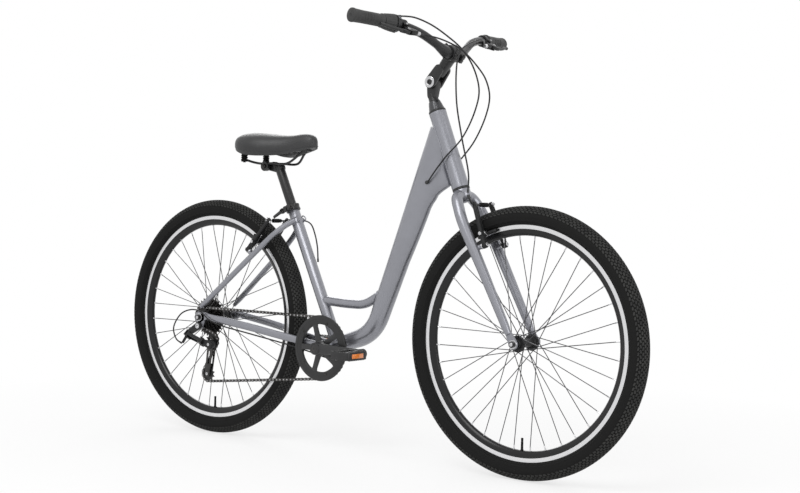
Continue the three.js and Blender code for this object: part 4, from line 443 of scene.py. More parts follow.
spokeSteel = speckled("spokeSteel", (0.085, 0.085, 0.088), 0.34, 1, 800, 0.01, 0.08)
darkSteel = speckled("darkSteel", (0.06, 0.058, 0.057), 0.36, 0.9, 500, 0.03, 0.3)
chainSteel = speckled("oiledSteel", (0.075, 0.072, 0.07), 0.33, 0.9, 300, 0.03, 0.35)
alloy = speckled("brushedAlloy", (0.62, 0.62, 0.63), 0.3, 1, 1200, 0.015, 0.06)
coneGrey = speckled("polishedGrey", (0.08, 0.081, 0.085), 0.22, 0.75, 900, 0.01, 0.08)
gripRubber = speckled("gripRubber", (0.042, 0.042, 0.042), 0.62, 0, 1600, 0.06, 0.12, **soft)
padRubber = speckled("padRubber", (0.01, 0.01, 0.01), 0.8, 0, 1200, 0.06, 0.2, **dull)
housing = speckled("cableHousing", (0.008, 0.008, 0.0085), 0.34, 0, 500, 0.01, 0.1, **soft)


def makeRubber(name, low, high):
    # dusty rubber between two shades; the tread blocks are paler than the casing under them, a painted
    # highlight for the light their tops catch
    made = Finish(name, (high,) * 3, 0.78, **dull)
    dust = made.range(made.noise(40, 5), 0, 1, 0.3, 0.7)
    made.set(**{"Base Color": made.tint(dust, (low,) * 3, (high, high, high * 0.96)),
                "Roughness": made.range(dust, 0.7, 0.86, 0, 1)})
    return made.bump(made.noise(1500, 2), 0.6, 0.08)


def makeTrack(name, centre):
    # the machined band that the pads squeeze, with fine circular tool marks
    made = Finish(name, (0.72, 0.72, 0.73), 0.26, 1)
    rings = made.node("TexWave", {"wave_type": "RINGS", "rings_direction": "Y"},
                      {"Vector": made.spot(centre), "Scale": 420, "Distortion": 0.4, "Detail": 1})
    shine = made.range(rings, 0, 1, 0, 1)
    made.set(**{"Base Color": made.tint(shine, (0.58, 0.58, 0.59), (0.82, 0.82, 0.83)),
                "Roughness": made.range(rings, 0.2, 0.36, 0, 1)})
    return made.bump(rings, 0.25, 0.03)


def makeVinyl():
    made = Finish("saddleVinyl", (0.022, 0.022, 0.023), 0.42, **sheen)
    grain = made.node("TexVoronoi", {"feature": "DISTANCE_TO_EDGE"}, {"Vector": made.spot(), "Scale": 620})
    crease = made.range(grain, 0, 1, 0, 0.12)
    cloud = made.range(made.noise(18, 4), 0, 1)
    made.set(**{"Base Color": made.tint(cloud, (0.018, 0.018, 0.019), (0.026, 0.026, 0.027)),
                "Roughness": made.range(made.noise(90, 3) * 0.5 + crease * 0.5, 0.34, 0.5, 0.3, 0.8)})
    return made.bump(crease, 0.35, 0.12)


def makeAmber():
    made = Finish("amberReflector", (0.78, 0.2, 0.02), 0.12, 0, **{"Coat Weight": 0.8})
    prisms = made.node("TexVoronoi", {"feature": "F1", "distance": "CHEBYCHEV"},
                       {"Vector": made.spot(), "Scale": 420, "Randomness": 0.0})
    facets = made.range(prisms, 0, 1, 0.1, 0.6)
    made.set(**{"Base Color": made.tint(facets, (0.95, 0.3, 0.035), (0.6, 0.13, 0.012))})
    return made.bump(prisms, 0.6, 0.5)


tyreRubber = makeRubber("tyreRubber", 0.007, 0.011)
# the tread's paler shades are painted highlight on the knobs; the mottle in both rubbers is dust
treadRubberPaintedSheen = makeRubber("treadRubberPaintedSheen", 0.022, 0.05)
vinyl = makeVinyl()
amber = makeAmber()
print("finishes ready")

studio = {
    "floor": 9, "white": 0.94, "world": 0.62, "shade": 0.7, "aim": (0, 0, 0.6),
    "key": {"place": (0.4, -2.6, 3.4), "size": 2.2, "power": 60},
    "fill": {"place": (3.6, -0.6, 1.6), "size": 1.8, "power": 26},
    "back": {"place": (-2.6, 2.6, 2.6), "size": 2.2, "power": 34},
}


def makeFloor(scene):
    # the ground shows plain white away from the bicycle and keeps its shadow near it
    ground = bmesh.new()
    bmesh.ops.create_grid(ground, x_segments=1, y_segments=1, size=studio["floor"])
    mesh = bpy.data.meshes.new("floor")
    ground.to_mesh(mesh)
    ground.free()
    floor = bpy.data.objects.new("floor", mesh)
    scene.collection.objects.link(floor)
    surface = Finish("paleFloor", (studio["white"],) * 3, 0.9)
    glow = surface.node("Emission", {}, {"Color": (1, 1, 1, 1), "Strength": 1.0})
    seen = surface.lookedAt()
    away = surface.node("VectorMath", {"operation": "LENGTH"}, {0: surface.spot()}, "Value")
    plain = surface.range(away, studio["shade"], 1, 0.9, 2.0)
    lit = Wire(surface, surface.shader.outputs[0])
    mixed = surface.node("MixShader", {}, {0: seen * plain, 1: lit, 2: glow})
    surface.feed(surface.tree.nodes["Material Output"].inputs["Surface"], mixed)
    mesh.materials.append(surface.material)


def makeWorld(scene):
    # plain light on the bicycle and a white background behind it
    scene.world = scene.world or bpy.data.worlds.new("world")
    scene.world.use_nodes = True
    sky = Nodes(scene.world.node_tree)
    for old in list(sky.tree.nodes):
        sky.tree.nodes.remove(old)
    level = sky.range(sky.lookedAt(), studio["world"], 1, 0, 1)
    shown = sky.node("Background", {}, {"Color": (1, 1, 1, 1), "Strength": level})
    sky.feed(sky.tree.nodes.new("ShaderNodeOutputWorld").inputs["Surface"], shown)


def makeLamp(scene, name):
    lamp = bpy.data.lights.new(name, "AREA")
    lamp.energy, lamp.size = studio[name]["power"], studio[name]["size"]
    place = Vector(studio[name]["place"])
    holder = bpy.data.objects.new(name, lamp)
    holder.matrix_world = (place - Vector(studio["aim"])).to_track_quat("Z", "Y").to_matrix().to_4x4()
    holder.matrix_world.translation = place
    scene.collection.objects.link(holder)


makeCamera()
bpy.context.scene.view_settings.view_transform = "Standard"
makeFloor(bpy.context.scene)
makeWorld(bpy.context.scene)
for name in ("key", "fill", "back"):
    makeLamp(bpy.context.scene, name)
print("camera and studio ready")

# wheels: heights along z of a wheel's frame run to the rider's left
wheelSizes = {
    "casing": 318.4, "crown": 24.8, "halfWidth": 26.0, "rows": 11, "rowStep": 12.8, "knobs": 172,
    "knob": (8.6, 4.7, 2.95),
    "bed": 270.3, "side": 12.3, "spokes": 36, "spoke": 1.15, "lacing": 1.3, "cross": 60, "steps": 144,
}
hubs = {
    "front": {"x": bike["front"], "spacing": 100, "right": 33, "left": 33, "flange": 21, "barrel": 11,
              "grip": 6, "body": "front_wheel", "holder": "steering"},
    "rear": {"x": bike["rear"], "spacing": 135, "right": 20, "left": 34, "flange": 24, "barrel": 15,
             "grip": 7, "body": "rear_wheel", "holder": "frame"},
}


def wheelPlace(x):
    return placeOf((x, 0, bike["axle"]), (1, 0, 0), (0, 1, 0))


def makeTyre(end, hub):
    w = wheelSizes
    place = wheelPlace(hub["x"])
    turns = [math.radians(turn) for turn in range(0, 101, 10)]
    half = [(w["casing"] + w["crown"] * math.cos(turn), w["halfWidth"] * math.sin(turn)) for turn in turns]
    half += [(309, 24.2), (307.6, 24.4), (306, 22.4), (303.2, 19.4), (302, 19.4), (300.6, 15.6),
             (298.8, 12.7), (297, 11.2), (291.5, 9.6)]
    profile = [(r, -y) for r, y in reversed(half[1:])] + half
    piece = Piece(end + "_tyre_casing", tyreRubber, treadRubberPaintedSheen)
    piece.add(lathe(profile, w["steps"], closed=True), place)
    long, wide, tall = w["knob"]
    rows = Piece("rows")
    for row in range(w["rows"]):
        lean = (row - (w["rows"] - 1) / 2) * w["rowStep"]
        a = math.radians(lean)
        centre = (w["casing"] + (w["crown"] + 0.2) * math.cos(a), 0, (w["halfWidth"] + 0.2) * math.sin(a))
        seat = placeOf(centre, (0, 1, 0), (math.cos(a), 0, math.sin(a)))
        seat = Matrix.Rotation((row % 2) * math.pi / w["knobs"], 4, "Z") @ seat
        seat = turnedAbout(seat, 16 if row % 2 else -16)
        corners = [(-long / 2, -wide * 0.3), (-long * 0.3, -wide / 2), (long / 2, -wide * 0.42)]
        outline = corners + [(-x, -y) for x, y in corners]
        rows.add(plate(outline, -1.4, tall - 1.4), seat)
    # the knobs take the tread rubber, whose paler colour is painted highlight
    piece.around(rows.bm, w["knobs"], place, 1)
    return piece.done(hub["body"], "tyre", [end + "_tyre"], sharp=32)


def makeRim(end, hub):
    w = wheelSizes
    track = makeTrack(end + "Track", (hub["x"], 0, bike["axle"]))
    half = [(w["bed"], 2.4), (272.4, 5.8), (276.6, 8.8), (283.4, 11.2), (287.6, 12.1), (288.4, 12.5),
            (297.6, 12.5), (298.2, 11.9), (297.6, 11.1), (292, 11.0), (289, 9), (286, 4)]
    profile = half + [(r, -y) for r, y in reversed(half)]
    place = wheelPlace(hub["x"])
    piece = Piece(end + "_rim_band", glossBlack, track, padRubber)
    piece.add(lathe(profile, w["steps"], closed=True), place, pick=lambda c: 1 if abs(c.y) > w["side"]
              else 0)
    x, z = hub["x"], bike["axle"]
    base = along((x, 0, z - w["bed"]), (0, 0, 1))
    piece.add(lathe([(0, -1), (4.4, -1), (4.2, 1.4), (3.3, 3), (3.1, 22), (2.6, 23), (0, 23)], 20), base, 2)
    piece.add(lathe([(0, 23), (2.55, 23), (2.55, 24), (3.1, 24.4), (3.1, 30.6), (2.4, 31.4), (0, 31.4)],
                    16), base, 2)
    return piece.done(hub["body"], "rim", [end + "_rim"])


def hubHalf(hub, away, freewheel=False):
    # from the middle of the barrel over the flange to the bearing's seal or the freewheel's thread
    flange, barrel, end = hub["flange"], hub["barrel"], hub["spacing"] / 2 - 8
    half = [(barrel, away - 9), (barrel + 1.4, away - 5), (barrel + 4.5, away - 2),
            (flange - 0.5, away - 1.6),
            (flange + 0.4, away - 1), (flange + 0.4, away + 1), (flange - 0.5, away + 1.6),
            (flange - 7.5, away + 1.9)]
    if freewheel:
        return half + [(17, away + 2.4), (17, away + 11), (5.2, away + 11)]
    return half + [(min(barrel + 3, flange - 8), away + 3), (12.5, away + 5), (12, end - 1), (11, end),
                   (5.2, end)]


def makeSpokes(end, hub):
    w = wheelSizes
    piece = Piece(end + "_hub_and_spokes", castBlack, spokeSteel, alloy)
    x, z = hub["x"], bike["axle"]
    for index in range(w["spokes"]):
        side = left if index % 2 else right
        lean = 1 if index // 2 % 2 else -1
        rimTurn = math.tau * (index + 0.5) / w["spokes"]
        hubTurn = rimTurn + lean * math.radians(w["cross"])
        flange = hub["left"] if side > 0 else -hub["right"]
        hole = hub["flange"] - 3
        seat = lambda y: Vector((x + hole * math.cos(hubTurn), y, z + hole * math.sin(hubTurn)))
        far = lambda r: Vector((x + r * math.cos(rimTurn), side * w["lacing"], z + r * math.sin(rimTurn)))
        elbow = seat(flange + lean * 2.2)
        way = (far(w["bed"]) - elbow).normalized()
        run = [seat(flange - lean * 2.0), seat(flange + lean * 1.6), elbow + way * 2.4, far(w["bed"] - 6)]
        piece.add(sweep(run, w["spoke"], 7), finish=1)
        head = lathe([(0, -1.2), (1.9, -0.9), (2.0, 0), (0, 0)], 10)
        piece.add(head, along(seat(flange - lean * 1.6), (0, lean, 0)), 1)
        nipple = [(0, -11), (1.3, -11), (1.75, -10.4), (1.75, -3), (2.3, -1.4), (2.3, 0.6), (0, 0.6)]
        piece.add(lathe(nipple, 8), along(far(w["bed"]), way), 2)
    leftHalf, rightHalf = hubHalf(hub, hub["left"]), hubHalf(hub, hub["right"], end == "rear")
    shell = [(r, -y) for r, y in reversed(rightHalf)] + leftHalf
    piece.add(lathe(shell, 48, closed=True), wheelPlace(x))
    return piece.done(hub["body"], "black_metal", [end + "_hub"])


def makeAxle(end, hub):
    piece = Piece(end + "_axle_set", steel, blackPaint)
    half = hub["spacing"] / 2
    out = half + hub["grip"]
    for side in (right, left):
        place = along((hub["x"], 0, bike["axle"]), (0, side, 0))
        cone = [(4.6, half - 8), (7.2, half - 7.6), (8, half - 5), (8, half - 0.6), (4.6, half - 0.4)]
        washer = [(4.6, out + 0.3), (11.4, out + 0.3), (11.6, out + 1), (11, out + 1.8), (4.6, out + 2)]
        collar = [(4.6, out + 7.6), (6.8, out + 7.9), (5, out + 8.7), (4.4, out + 8.7)]
        bar = [(0, 0), (4.7, 0), (4.7, out + 8.8), (3.9, out + 9.3), (0, out + 9.3)]
        piece.add(lathe(cone, 32), place, 1)
        piece.add(lathe(washer, 32), place)
        piece.add(plate(circle((0, 0), 8.6, 6), out + 1.9, out + 8, bevel=0.5), place, 1)
        piece.add(lathe(collar, 24), place, 1)
        piece.add(lathe(bar, 20), place)
    return piece.done(hub["holder"], "steel", [end + "_axle"])


for end, hub in hubs.items():
    makeTyre(end, hub)
    makeRim(end, hub)
    makeSpokes(end, hub)
    makeAxle(end, hub)
print("wheels ready")

# frame tubes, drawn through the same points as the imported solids
tubes = {
    "downTop": 158, "lowAngle": 18, "highAngle": 68.3, "bend": 54, "depths": (84, 62, 44),
    "widths": (42, 48, 54),
    "flare": [(0, 42), (70, 42), (112, 70), (126, 84), (136, 62), (160, 49), (200, 40)],
    "head": 23, "seat": 16.5, "cross": 12.7, "crossHeight": 129, "shell": 21, "shellWidth": 68, "bead": 1.7,
    "chainstay": [(22, 4, 70), (60, -1, 68), (180, -16, 58), (290, -34, 43), (335, -41, 37), (390, -50, 31),
                  (438, -57, 27)],
    "seatstay": [(3, 30, 70), (60, 78, 66), (150, 155, 59), (222, 216, 53), (262, 252, 44), (292, 278, 27),
                 (314, 292, 15)],
    "stud": 262, "studSpread": 46, "frontBrake": 111.5, "rearBrake": 51,
    "sideWeld": (-9.2, 21.2), "lowWeld": (26.6, 21.6), "port": (775, 22.6, 746), "guide": (512, -14, 284.5),
    "crossRoute": [(0, 0), (105, -5), (152, -1), (222, 36)], "sunk": (24.5, 31.5),
    "stayWidth": (12, 14), "stayDepth": (20, 22), "seatstayRadius": 8, "dropout": 7, "axleHole": 5.3,
    "steererTop": 26, "bladeRadius": (15, 10), "forkTip": 6, "tipX": 46,
}
downTop = Vector(point(steering, 0, 0, headBottom + tubes["downTop"]))


def brakePlace(x, angle, turned):
    stud, turn = tubes["stud"], math.radians(angle)
    origin = (x + stud * math.cos(turn), 0, bike["axle"] + stud * math.sin(turn))
    place = placeOf(origin, heading(angle - 90), heading(angle))
    return turnedAbout(place, 180) if turned else place


frontBrake = brakePlace(bike["front"], tubes["frontBrake"], False)
rearBrake = brakePlace(bike["rear"], tubes["rearBrake"], True)


def stepped(table, value):
    for (low, start), (high, end) in zip(table, table[1:]):
        if value <= high:
            share = (value - low) / (high - low)
            return blend(start, end, share * share * (3 - 2 * share))
    return table[-1][1]


def downTubeRoute():
    steep, low = heading(tubes["highAngle"]), heading(tubes["lowAngle"])
    gap = downTop - Vector(crankCentre)
    drop = (gap.x * low.z - gap.z * low.x) / (steep.x * low.z - steep.z * low.x)
    corner = downTop - steep * drop
    first, last = corner + steep * tubes["bend"], corner - low * tubes["bend"]
    run = [downTop.lerp(first, i / 40) for i in range(40)]
    for i in range(17):
        t = i / 16
        run.append(first.lerp(corner, t).lerp(corner.lerp(last, t), t))
    return run + [last.lerp(Vector(crankCentre), i / 8) for i in range(1, 9)]


def downTubeAt(distance, length):
    upper, lower = min(2 * distance / length, 1), max(2 * distance / length - 1, 0)
    size = [blend(blend(t[0], t[1], upper), t[2], lower) for t in (tubes["widths"], tubes["depths"])]
    reach, depth = tubes["flare"][-1]
    if distance < reach:
        return size[0] / 2, size[1] / 2, stepped(tubes["flare"], distance)
    return size[0] / 2, size[1] / 2, blend(size[1] / 2, depth, max(0, 1 - (distance - reach) / 160))


def bead(piece, way, across, deep, size, outside, start):
    # a rippled weld where a tube running along way from start meets what outside() tells apart
    ring, steps = [], 40
    for step in range(steps):
        turn = math.tau * step / steps
        side = across * (size[0] * math.cos(turn)) + deep * (size[1] * math.sin(turn))
        low, high = 0.0, 90.0
        for _ in range(22):
            middle = (low + high) / 2
            low, high = (low, middle) if outside(start + side + way * middle) else (middle, high)
        ring.append(start + side * 1.01 + way * high)
    ripple = lambda share: tubes["bead"] * (1 + 0.12 * math.sin(share * steps * math.pi))
    piece.add(sweep(ring, ripple, 8, closed=True, capped=False))


def endBead(piece, run, before, back, size, outside):
    # the weld at the last point of a tube's run, looked for from a little way back
    way = (run[-before] - run[-1]).normalized()
    bead(piece, way, toLeft, way.cross(toLeft), size, outside, run[-1] - way * back)


def offAxis(origin, axis, radius):
    origin, axis = Vector(origin), Vector(axis).normalized()
    return lambda p: ((p - origin) - axis * (p - origin).dot(axis)).length > radius


offShell = offAxis(crankCentre, toLeft, tubes["shell"])
offSeatTube = offAxis(point(seatPlace, 0, 0, 0), seatPlace.col[2][:3], tubes["seat"])


def makeDownTube():
    route = downTubeRoute()
    reach = [0]
    for a, b in zip(route, route[1:]):
        reach.append(reach[-1] + (b - a).length)
    length = reach[-1]
    size = lambda share: downTubeAt(reach[round(share * (len(route) - 1))], length)
    tube = sweep(route, lambda s: size(s)[:2], 40, toLeft, under=lambda s: size(s)[2])
    cutAt = at(*point(steering, 2, 0, headBottom))
    whole = [*tube.verts, *tube.edges, *tube.faces]
    bmesh.ops.bisect_plane(tube, geom=whole, plane_co=cutAt, plane_no=headAhead, clear_outer=True)
    bmesh.ops.holes_fill(tube, edges=[e for e in tube.edges if e.is_boundary])
    piece = Piece("down_tube_skin", paint, gripRubber).add(tube)
    back, aside = tubes["sideWeld"]
    x, y, z = tubes["port"]
    for side in (right, left):
        # the weld beside the head tube follows the tube's side where it sinks in
        levels = [blend(headBottom + 14, headBottom + tubes["downTop"] + 26, i / 29) for i in range(30)]
        run = [point(steering, back, side * aside, up) for up in levels]
        piece.add(sweep(run, lambda share: 1.5 + 0.2 * math.sin(share * 60), 8))
        # ports where the cables go in
        port = lathe([(0, 0), (5.4, 0), (5.4, 1.2), (4.4, 3.4), (2.6, 4.6), (0, 4.6)], 20)
        piece.add(port, along((bike["rear"] + x, side * y, z), (0.35, side, 0.3)), 1)
    low = tubes["lowAngle"]
    bead(piece, heading(low), toLeft, heading(low + 90), tubes["lowWeld"], offShell, Vector(crankCentre))
    x, y, z = tubes["guide"]
    guide = lathe([(0, 0), (3.6, 0), (3.6, 1), (2.9, 1.6), (0, 1.6)], 20)
    piece.add(guide, along((bike["rear"] + x, y, z), (-0.5, 0, -1)), 1)
    return piece.done("frame", "paint", ["down_tube"], sharp=50)


def makeHeadTube():
    piece = Piece("head_tube_skin", paint)
    r = tubes["head"]
    ring = [(15, 0), (r - 0.4, 0), (r + 0.3, 0.6), (r + 0.3, 9), (r, 11)]
    profile = [(wide, headBottom + up) for wide, up in ring] + [(wide, headTop - up) for wide,
            up in reversed(ring)]
    piece.add(lathe(profile, 64, closed=True), steering)
    return piece.done("frame", "paint", ["head_tube"])


def makeSeatTube():
    piece = Piece("seat_tube_skin", paint)
    r, top = tubes["seat"], bike["seatTube"]
    piece.add(lathe([(13.9, top), (r - 0.3, top), (r, top - 0.4), (r, 12), (13.9, 12)], 48, closed=True),
              seatPlace)
    forward, _, up = (Vector(column[:3]) for column in list(seatPlace.col)[:3])
    outside = offAxis(crankCentre, toLeft, tubes["shell"] + 1)
    bead(piece, up, forward, toLeft, (r, r), outside, Vector(point(seatPlace, 0, 0, 0)))
    return piece.done("frame", "paint", ["seat_tube"])


def makeCrossTube():
    size, (wide, deep) = (tubes["cross"], tubes["cross"]), tubes["sunk"]
    start = Vector(point(seatPlace, 0, 0, tubes["crossHeight"] / math.sin(math.radians(bike["seatAngle"]))))
    piece = Piece("cross_tube_skin", paint)
    run = smoothPath([start + Vector((x, 0, z)) for x, z in tubes["crossRoute"]], 30)
    piece.add(sweep(run, tubes["cross"], 36, toLeft))
    way = (run[1] - run[0]).normalized()
    bead(piece, way, toLeft, way.cross(toLeft), size, offSeatTube, start)
    # the far end sinks into the down tube's rear face
    steep = heading(tubes["highAngle"])
    face = toLeft.cross(steep)
    middle = lambda p: downTop + steep * (p - downTop).dot(steep)
    outside = lambda p: Vector((0, p.y / wide, (p - middle(p)).dot(face) / deep)).length > 1
    endBead(piece, run, 6, 26, size, outside)
    return piece.done("frame", "paint", ["cross_tube"])


def makeShell():
    piece = Piece("bottom_bracket_skin", paint, blackPaint)
    half, r = tubes["shellWidth"] / 2, tubes["shell"]
    place = placeOf(crankCentre, (1, 0, 0), (0, 1, 0))
    piece.add(lathe([(8.4, -half), (r - 0.6, -half), (r, 0.6 - half), (r, half - 0.6), (r - 0.6, half),
                     (8.4, half)], 56, closed=True), place)
    for side in (left, right):
        cup = [(8.4, half + 0.1), (18, half + 0.1), (18, half + 2.2), (16.8, half + 3), (8.4, half + 3)]
        piece.add(lathe([(r, side * y) for r, y in cup], 40, closed=True), place, 1)
    return piece.done("frame", "paint", ["bottom_bracket_shell"])


def drivePlace(x, z):
    # x forward, y up, z out on the drive side
    return placeOf((x, 0, z), (1, 0, 0), (0, -1, 0))


def stayPoints(route, side, steps):
    return smoothPath([(bike["rear"] + x, side * y, bike["axle"] + z) for x, z, y in route], steps)


def makeChainstay(side):
    piece = Piece("chainstay_%s_skin" % hands[side], paint)
    (wide, wider), (deep, deeper) = tubes["stayWidth"], tubes["stayDepth"]
    size = lambda share: (blend(wide, wider, min(share * 3, 1)) / 2,
                          blend(deep, deeper, min(share * 3, 1)) / 2)
    run = stayPoints(tubes["chainstay"], side, 40)
    piece.add(sweep(run, size, 24, toLeft))
    place = drivePlace(bike["rear"], bike["axle"])
    inside = hubs["rear"]["spacing"] / 2
    heights = -side * inside, -side * (inside + tubes["dropout"])
    hole = circle((0, 0), tubes["axleHole"], 20)
    piece.add(plate(linked((0, 0), 17, (26, 5), 10, 14), *heights, [hole], bevel=0.8), place)
    if side == right:  # the hanger of the derailleur
        piece.add(plate(linked((10, 0), 12, (3, -25), 10, 12), *heights, bevel=0.8), place)
    endBead(piece, run, 7, 8, (wider / 2, deeper / 2), offShell)
    piece.done("frame", "paint", ["chainstay_" + hands[side]])


def makeSeatstay(side):
    piece = Piece("seatstay_%s_skin" % hands[side], paint, steel)
    radius = tubes["seatstayRadius"]
    run = stayPoints(tubes["seatstay"], side, 46)
    piece.add(sweep(run, lambda share: radius * min(1, 0.72 + share * 4), 24, toLeft))
    endBead(piece, run, 8, 12, (radius, radius), offSeatTube)
    addStud(piece, rearBrake, -side, 30, 9)
    piece.done("frame", "paint", ["seatstay_" + hands[side]])


def addStud(piece, place, side, depth, spread):
    far = tubes["studSpread"]
    piece.add(rod((-depth, side * (far + spread), 0), (-9, side * far, 0), 6.5, 24), place)
    washer = lathe([(0, 0), (7.6, 0), (7.9, 0.6), (7.9, 2.2), (7.2, 2.6), (0, 2.6)], 28)
    piece.add(washer, place @ along((-10.8, side * far, 0), (1, 0, 0)))
    piece.add(rod((-10, side * far, 0), (8, side * far, 0), 4, 20), place, 1)


def makeFork():
    piece = Piece("fork_skin", paint, steel, blackPaint)
    top, r, end = bike["forkLength"], tubes["head"], headTop + tubes["steererTop"]
    crown = [(0, top - 36), (10, top - 34), (17, top - 28), (21.4, top - 20), (22, top - 16), (22, top - 2),
             (21.2, top), (14.3, top), (14.3, end), (0, end)]
    piece.add(lathe(crown, 48), steering)
    race = [(14.4, top - 0.5), (r - 0.5, top - 0.5), (r, top), (r, headBottom - 0.4),
            (14.4, headBottom - 0.4)]
    piece.add(lathe(race, 48, closed=True), steering, 2)
    route = [(0, 10, top - 14), (2, 34, top - 24), (7, 49, top - 58), (10, 55, top - 92), (27, 55, 180),
             (42, 55, 28)]
    for side in (right, left):
        blade = smoothPath([(x, side * y, z) for x, y, z in route], 60)
        taper = lambda share: blend(*tubes["bladeRadius"], share ** 1.5) * min(1, 1 - (share - 0.96) * 6)
        piece.add(sweep(blade, taper, 32, (1, 0, 0)), steering)
        inside, x = hubs["front"]["spacing"] / 2, tubes["tipX"]
        shape, hole = linked((x, 0), 12.6, (x - 4, 32), 8, 14), circle((x, 0), tubes["axleHole"], 20)
        tip = plate(shape, -side * inside, -side * (inside + tubes["forkTip"]), [hole], bevel=0.8)
        piece.add(tip, steering @ sideways)
        addStud(piece, frontBrake, side, 30, 5)
    return piece.done("steering", "paint", ["fork"], sharp=42)


makeDownTube()
makeHeadTube()
makeSeatTube()
makeCrossTube()
makeShell()
for side in (right, left):
    makeChainstay(side)
    makeSeatstay(side)
makeFork()
print("frame and fork ready")

# chain drive: the chain's route over its four wheels, then each link
drive = {
    "pitch": 12.7, "ring": 42, "ringLine": 45, "cogs": (14, 16, 18, 20, 22, 24, 28), "cogStep": 5,
    "firstLine": 58, "pulley": 11, "pulleyLine": 58,
    "upper": (40, 66), "lower": (27.7, 164.3), "straight": 36, "crank": 170, "crankOut": 66, "flare": 10,
    "plate": 4.1, "waist": 2.9, "roller": 3.9, "rollerReach": 1.45, "inner": (1.5, 2.25),
    "outer": (2.35, 3.1), "pin": 1.8,
    "halfTooth": 0.95, "seat": 4.0, "ringHole": 66, "ringBolts": 72,
}
upperPulley = (bike["rear"] + drive["upper"][0], bike["axle"] - drive["upper"][1])
lowerPulley = (bike["rear"] + drive["lower"][0], bike["axle"] - drive["lower"][1])
chainWheels = [
    {"centre": (bike["crankX"], bike["crankZ"]), "teeth": drive["ring"], "turn": 1,
     "line": drive["ringLine"]},
    {"centre": (bike["rear"], bike["axle"]), "teeth": drive["cogs"][0], "turn": 1,
     "line": drive["firstLine"]},
    {"centre": upperPulley, "teeth": drive["pulley"], "turn": -1, "line": drive["pulleyLine"]},
    {"centre": lowerPulley, "teeth": drive["pulley"], "turn": 1, "line": drive["pulleyLine"]},
]


def pathRadius(teeth):
    return teeth * drive["pitch"] / math.tau


def onWheel(wheel, way):
    reach = wheel["turn"] * pathRadius(wheel["teeth"])
    return wheel["centre"][0] + reach * math.sin(way), wheel["centre"][1] - reach * math.cos(way)


def chainSpans():
    ways = []
    for wheel, after in zip(chainWheels, chainWheels[1:] + chainWheels[:1]):
        dx, dz = after["centre"][0] - wheel["centre"][0], after["centre"][1] - wheel["centre"][1]
        lean = wheel["turn"] * pathRadius(wheel["teeth"]) - after["turn"] * pathRadius(after["teeth"])
        ways.append(math.atan2(dz, dx) + math.asin(lean / math.hypot(dx, dz)))
    spans, start = [], 0
    for index, wheel in enumerate(chainWheels):
        before, way, after = ways[index - 1], ways[index], chainWheels[(index + 1) % 4]
        wrap = (wheel["turn"] * (way - before)) % math.tau
        long = pathRadius(wheel["teeth"]) * wrap
        spans.append({"wheel": wheel, "before": before, "start": start, "length": long})
        start += long
        first, last = onWheel(wheel, way), onWheel(after, way)
        long = math.dist(first, last)
        spans.append({"from": first, "way": way, "lines": (wheel["line"], after["line"]), "start": start,
                      "length": long})
        start += long
    return spans, start


spans, chainLength = chainSpans()
linkCount = 2 * round(chainLength / drive["pitch"] / 2)
linkStep = chainLength / linkCount


def chainPoint(distance):
    span = [s for s in spans if s["start"] <= distance % chainLength][-1]
    run = distance % chainLength - span["start"]
    if "wheel" in span:
        wheel = span["wheel"]
        x, z = onWheel(wheel, span["before"] + wheel["turn"] * run / pathRadius(wheel["teeth"]))
        return Vector((x, -wheel["line"], z))
    share = min(1, max(0, (run - drive["straight"]) / (span["length"] - 2 * drive["straight"])))
    x, z = span["from"]
    return Vector((x + run * math.cos(span["way"]), -blend(*span["lines"], share),
                   z + run * math.sin(span["way"])))


def gapOf(wheel):
    span = next(s for s in spans if s.get("wheel") is wheel)
    pin = chainPoint(round((span["start"] + span["length"] / 2) / linkStep) * linkStep)
    return math.atan2(pin.z - wheel["centre"][1], pin.x - wheel["centre"][0])


def toothedOutline(teeth, phase, tip):
    # round seats for the chain's rollers, and a narrow tooth between each two
    outline, reach = [], pathRadius(teeth)
    for tooth in range(teeth):
        g = phase + math.tau * tooth / teeth
        for q in (-62, -38, -12, 12, 38, 62):
            q = math.radians(q)
            away, aside = reach - drive["seat"] * math.cos(q), drive["seat"] * math.sin(q)
            outline.append((away * math.cos(g) - aside * math.sin(g),
                            away * math.sin(g) + aside * math.cos(g)))
        for way in (-1, 1):
            t = g + math.pi / teeth + way * 0.8 / (reach + tip)
            outline.append(((reach + tip) * math.cos(t), (reach + tip) * math.sin(t)))
    return outline


def toothedPlate(teeth, phase, line, hole, sides, tip=2.3):
    middle = [circle((0, 0), hole, sides)]
    return plate(toothedOutline(teeth, phase, tip), line - drive["halfTooth"], line + drive["halfTooth"],
                 middle)


crankPlace = drivePlace(bike["crankX"], bike["crankZ"])


def makeChain():
    piece = Piece("chain_links", chainSteel, steel)
    pitch, waist, pin = drive["pitch"], drive["waist"], drive["pin"]
    outline = linked((0, 0), drive["plate"], (pitch, 0), drive["plate"], 5)
    outline = outline[:6] + [(pitch * 0.5, -waist)] + outline[6:] + [(pitch * 0.5, waist)]
    roller, reach = drive["roller"], drive["rollerReach"]
    rollerShape = [(0, -reach), (roller, -reach), (roller, reach), (0, reach)]
    pinShape = [(0, -3.4), (1.2, -3.4), (pin, -3.1), (pin, 3.1), (1.2, 3.4), (0, 3.4)]
    kinds = []
    for heights, profile, steps, finish in ((drive["inner"], rollerShape, 12, 0),
                                            (drive["outer"], pinShape, 8, 1)):
        link = Piece("link")
        for side in (left, right):
            link.add(plate(outline, side * heights[0], side * heights[1]))
        for end in (0, pitch):
            link.add(lathe(profile, steps), Matrix.Translation(at(end, 0, 0)), finish)
        kinds.append(link.bm)
    for index in range(linkCount):
        here, after = chainPoint(index * linkStep), chainPoint((index + 1) * linkStep)
        made = kinds[index % 2].copy()
        bmesh.ops.transform(made, matrix=placeOf(here, after - here, (0, -1, 0)), verts=made.verts)
        piece.take(made)
    for kind in kinds:
        kind.free()
    return piece.done("frame", "dark_steel", ["chain"], sharp=30)


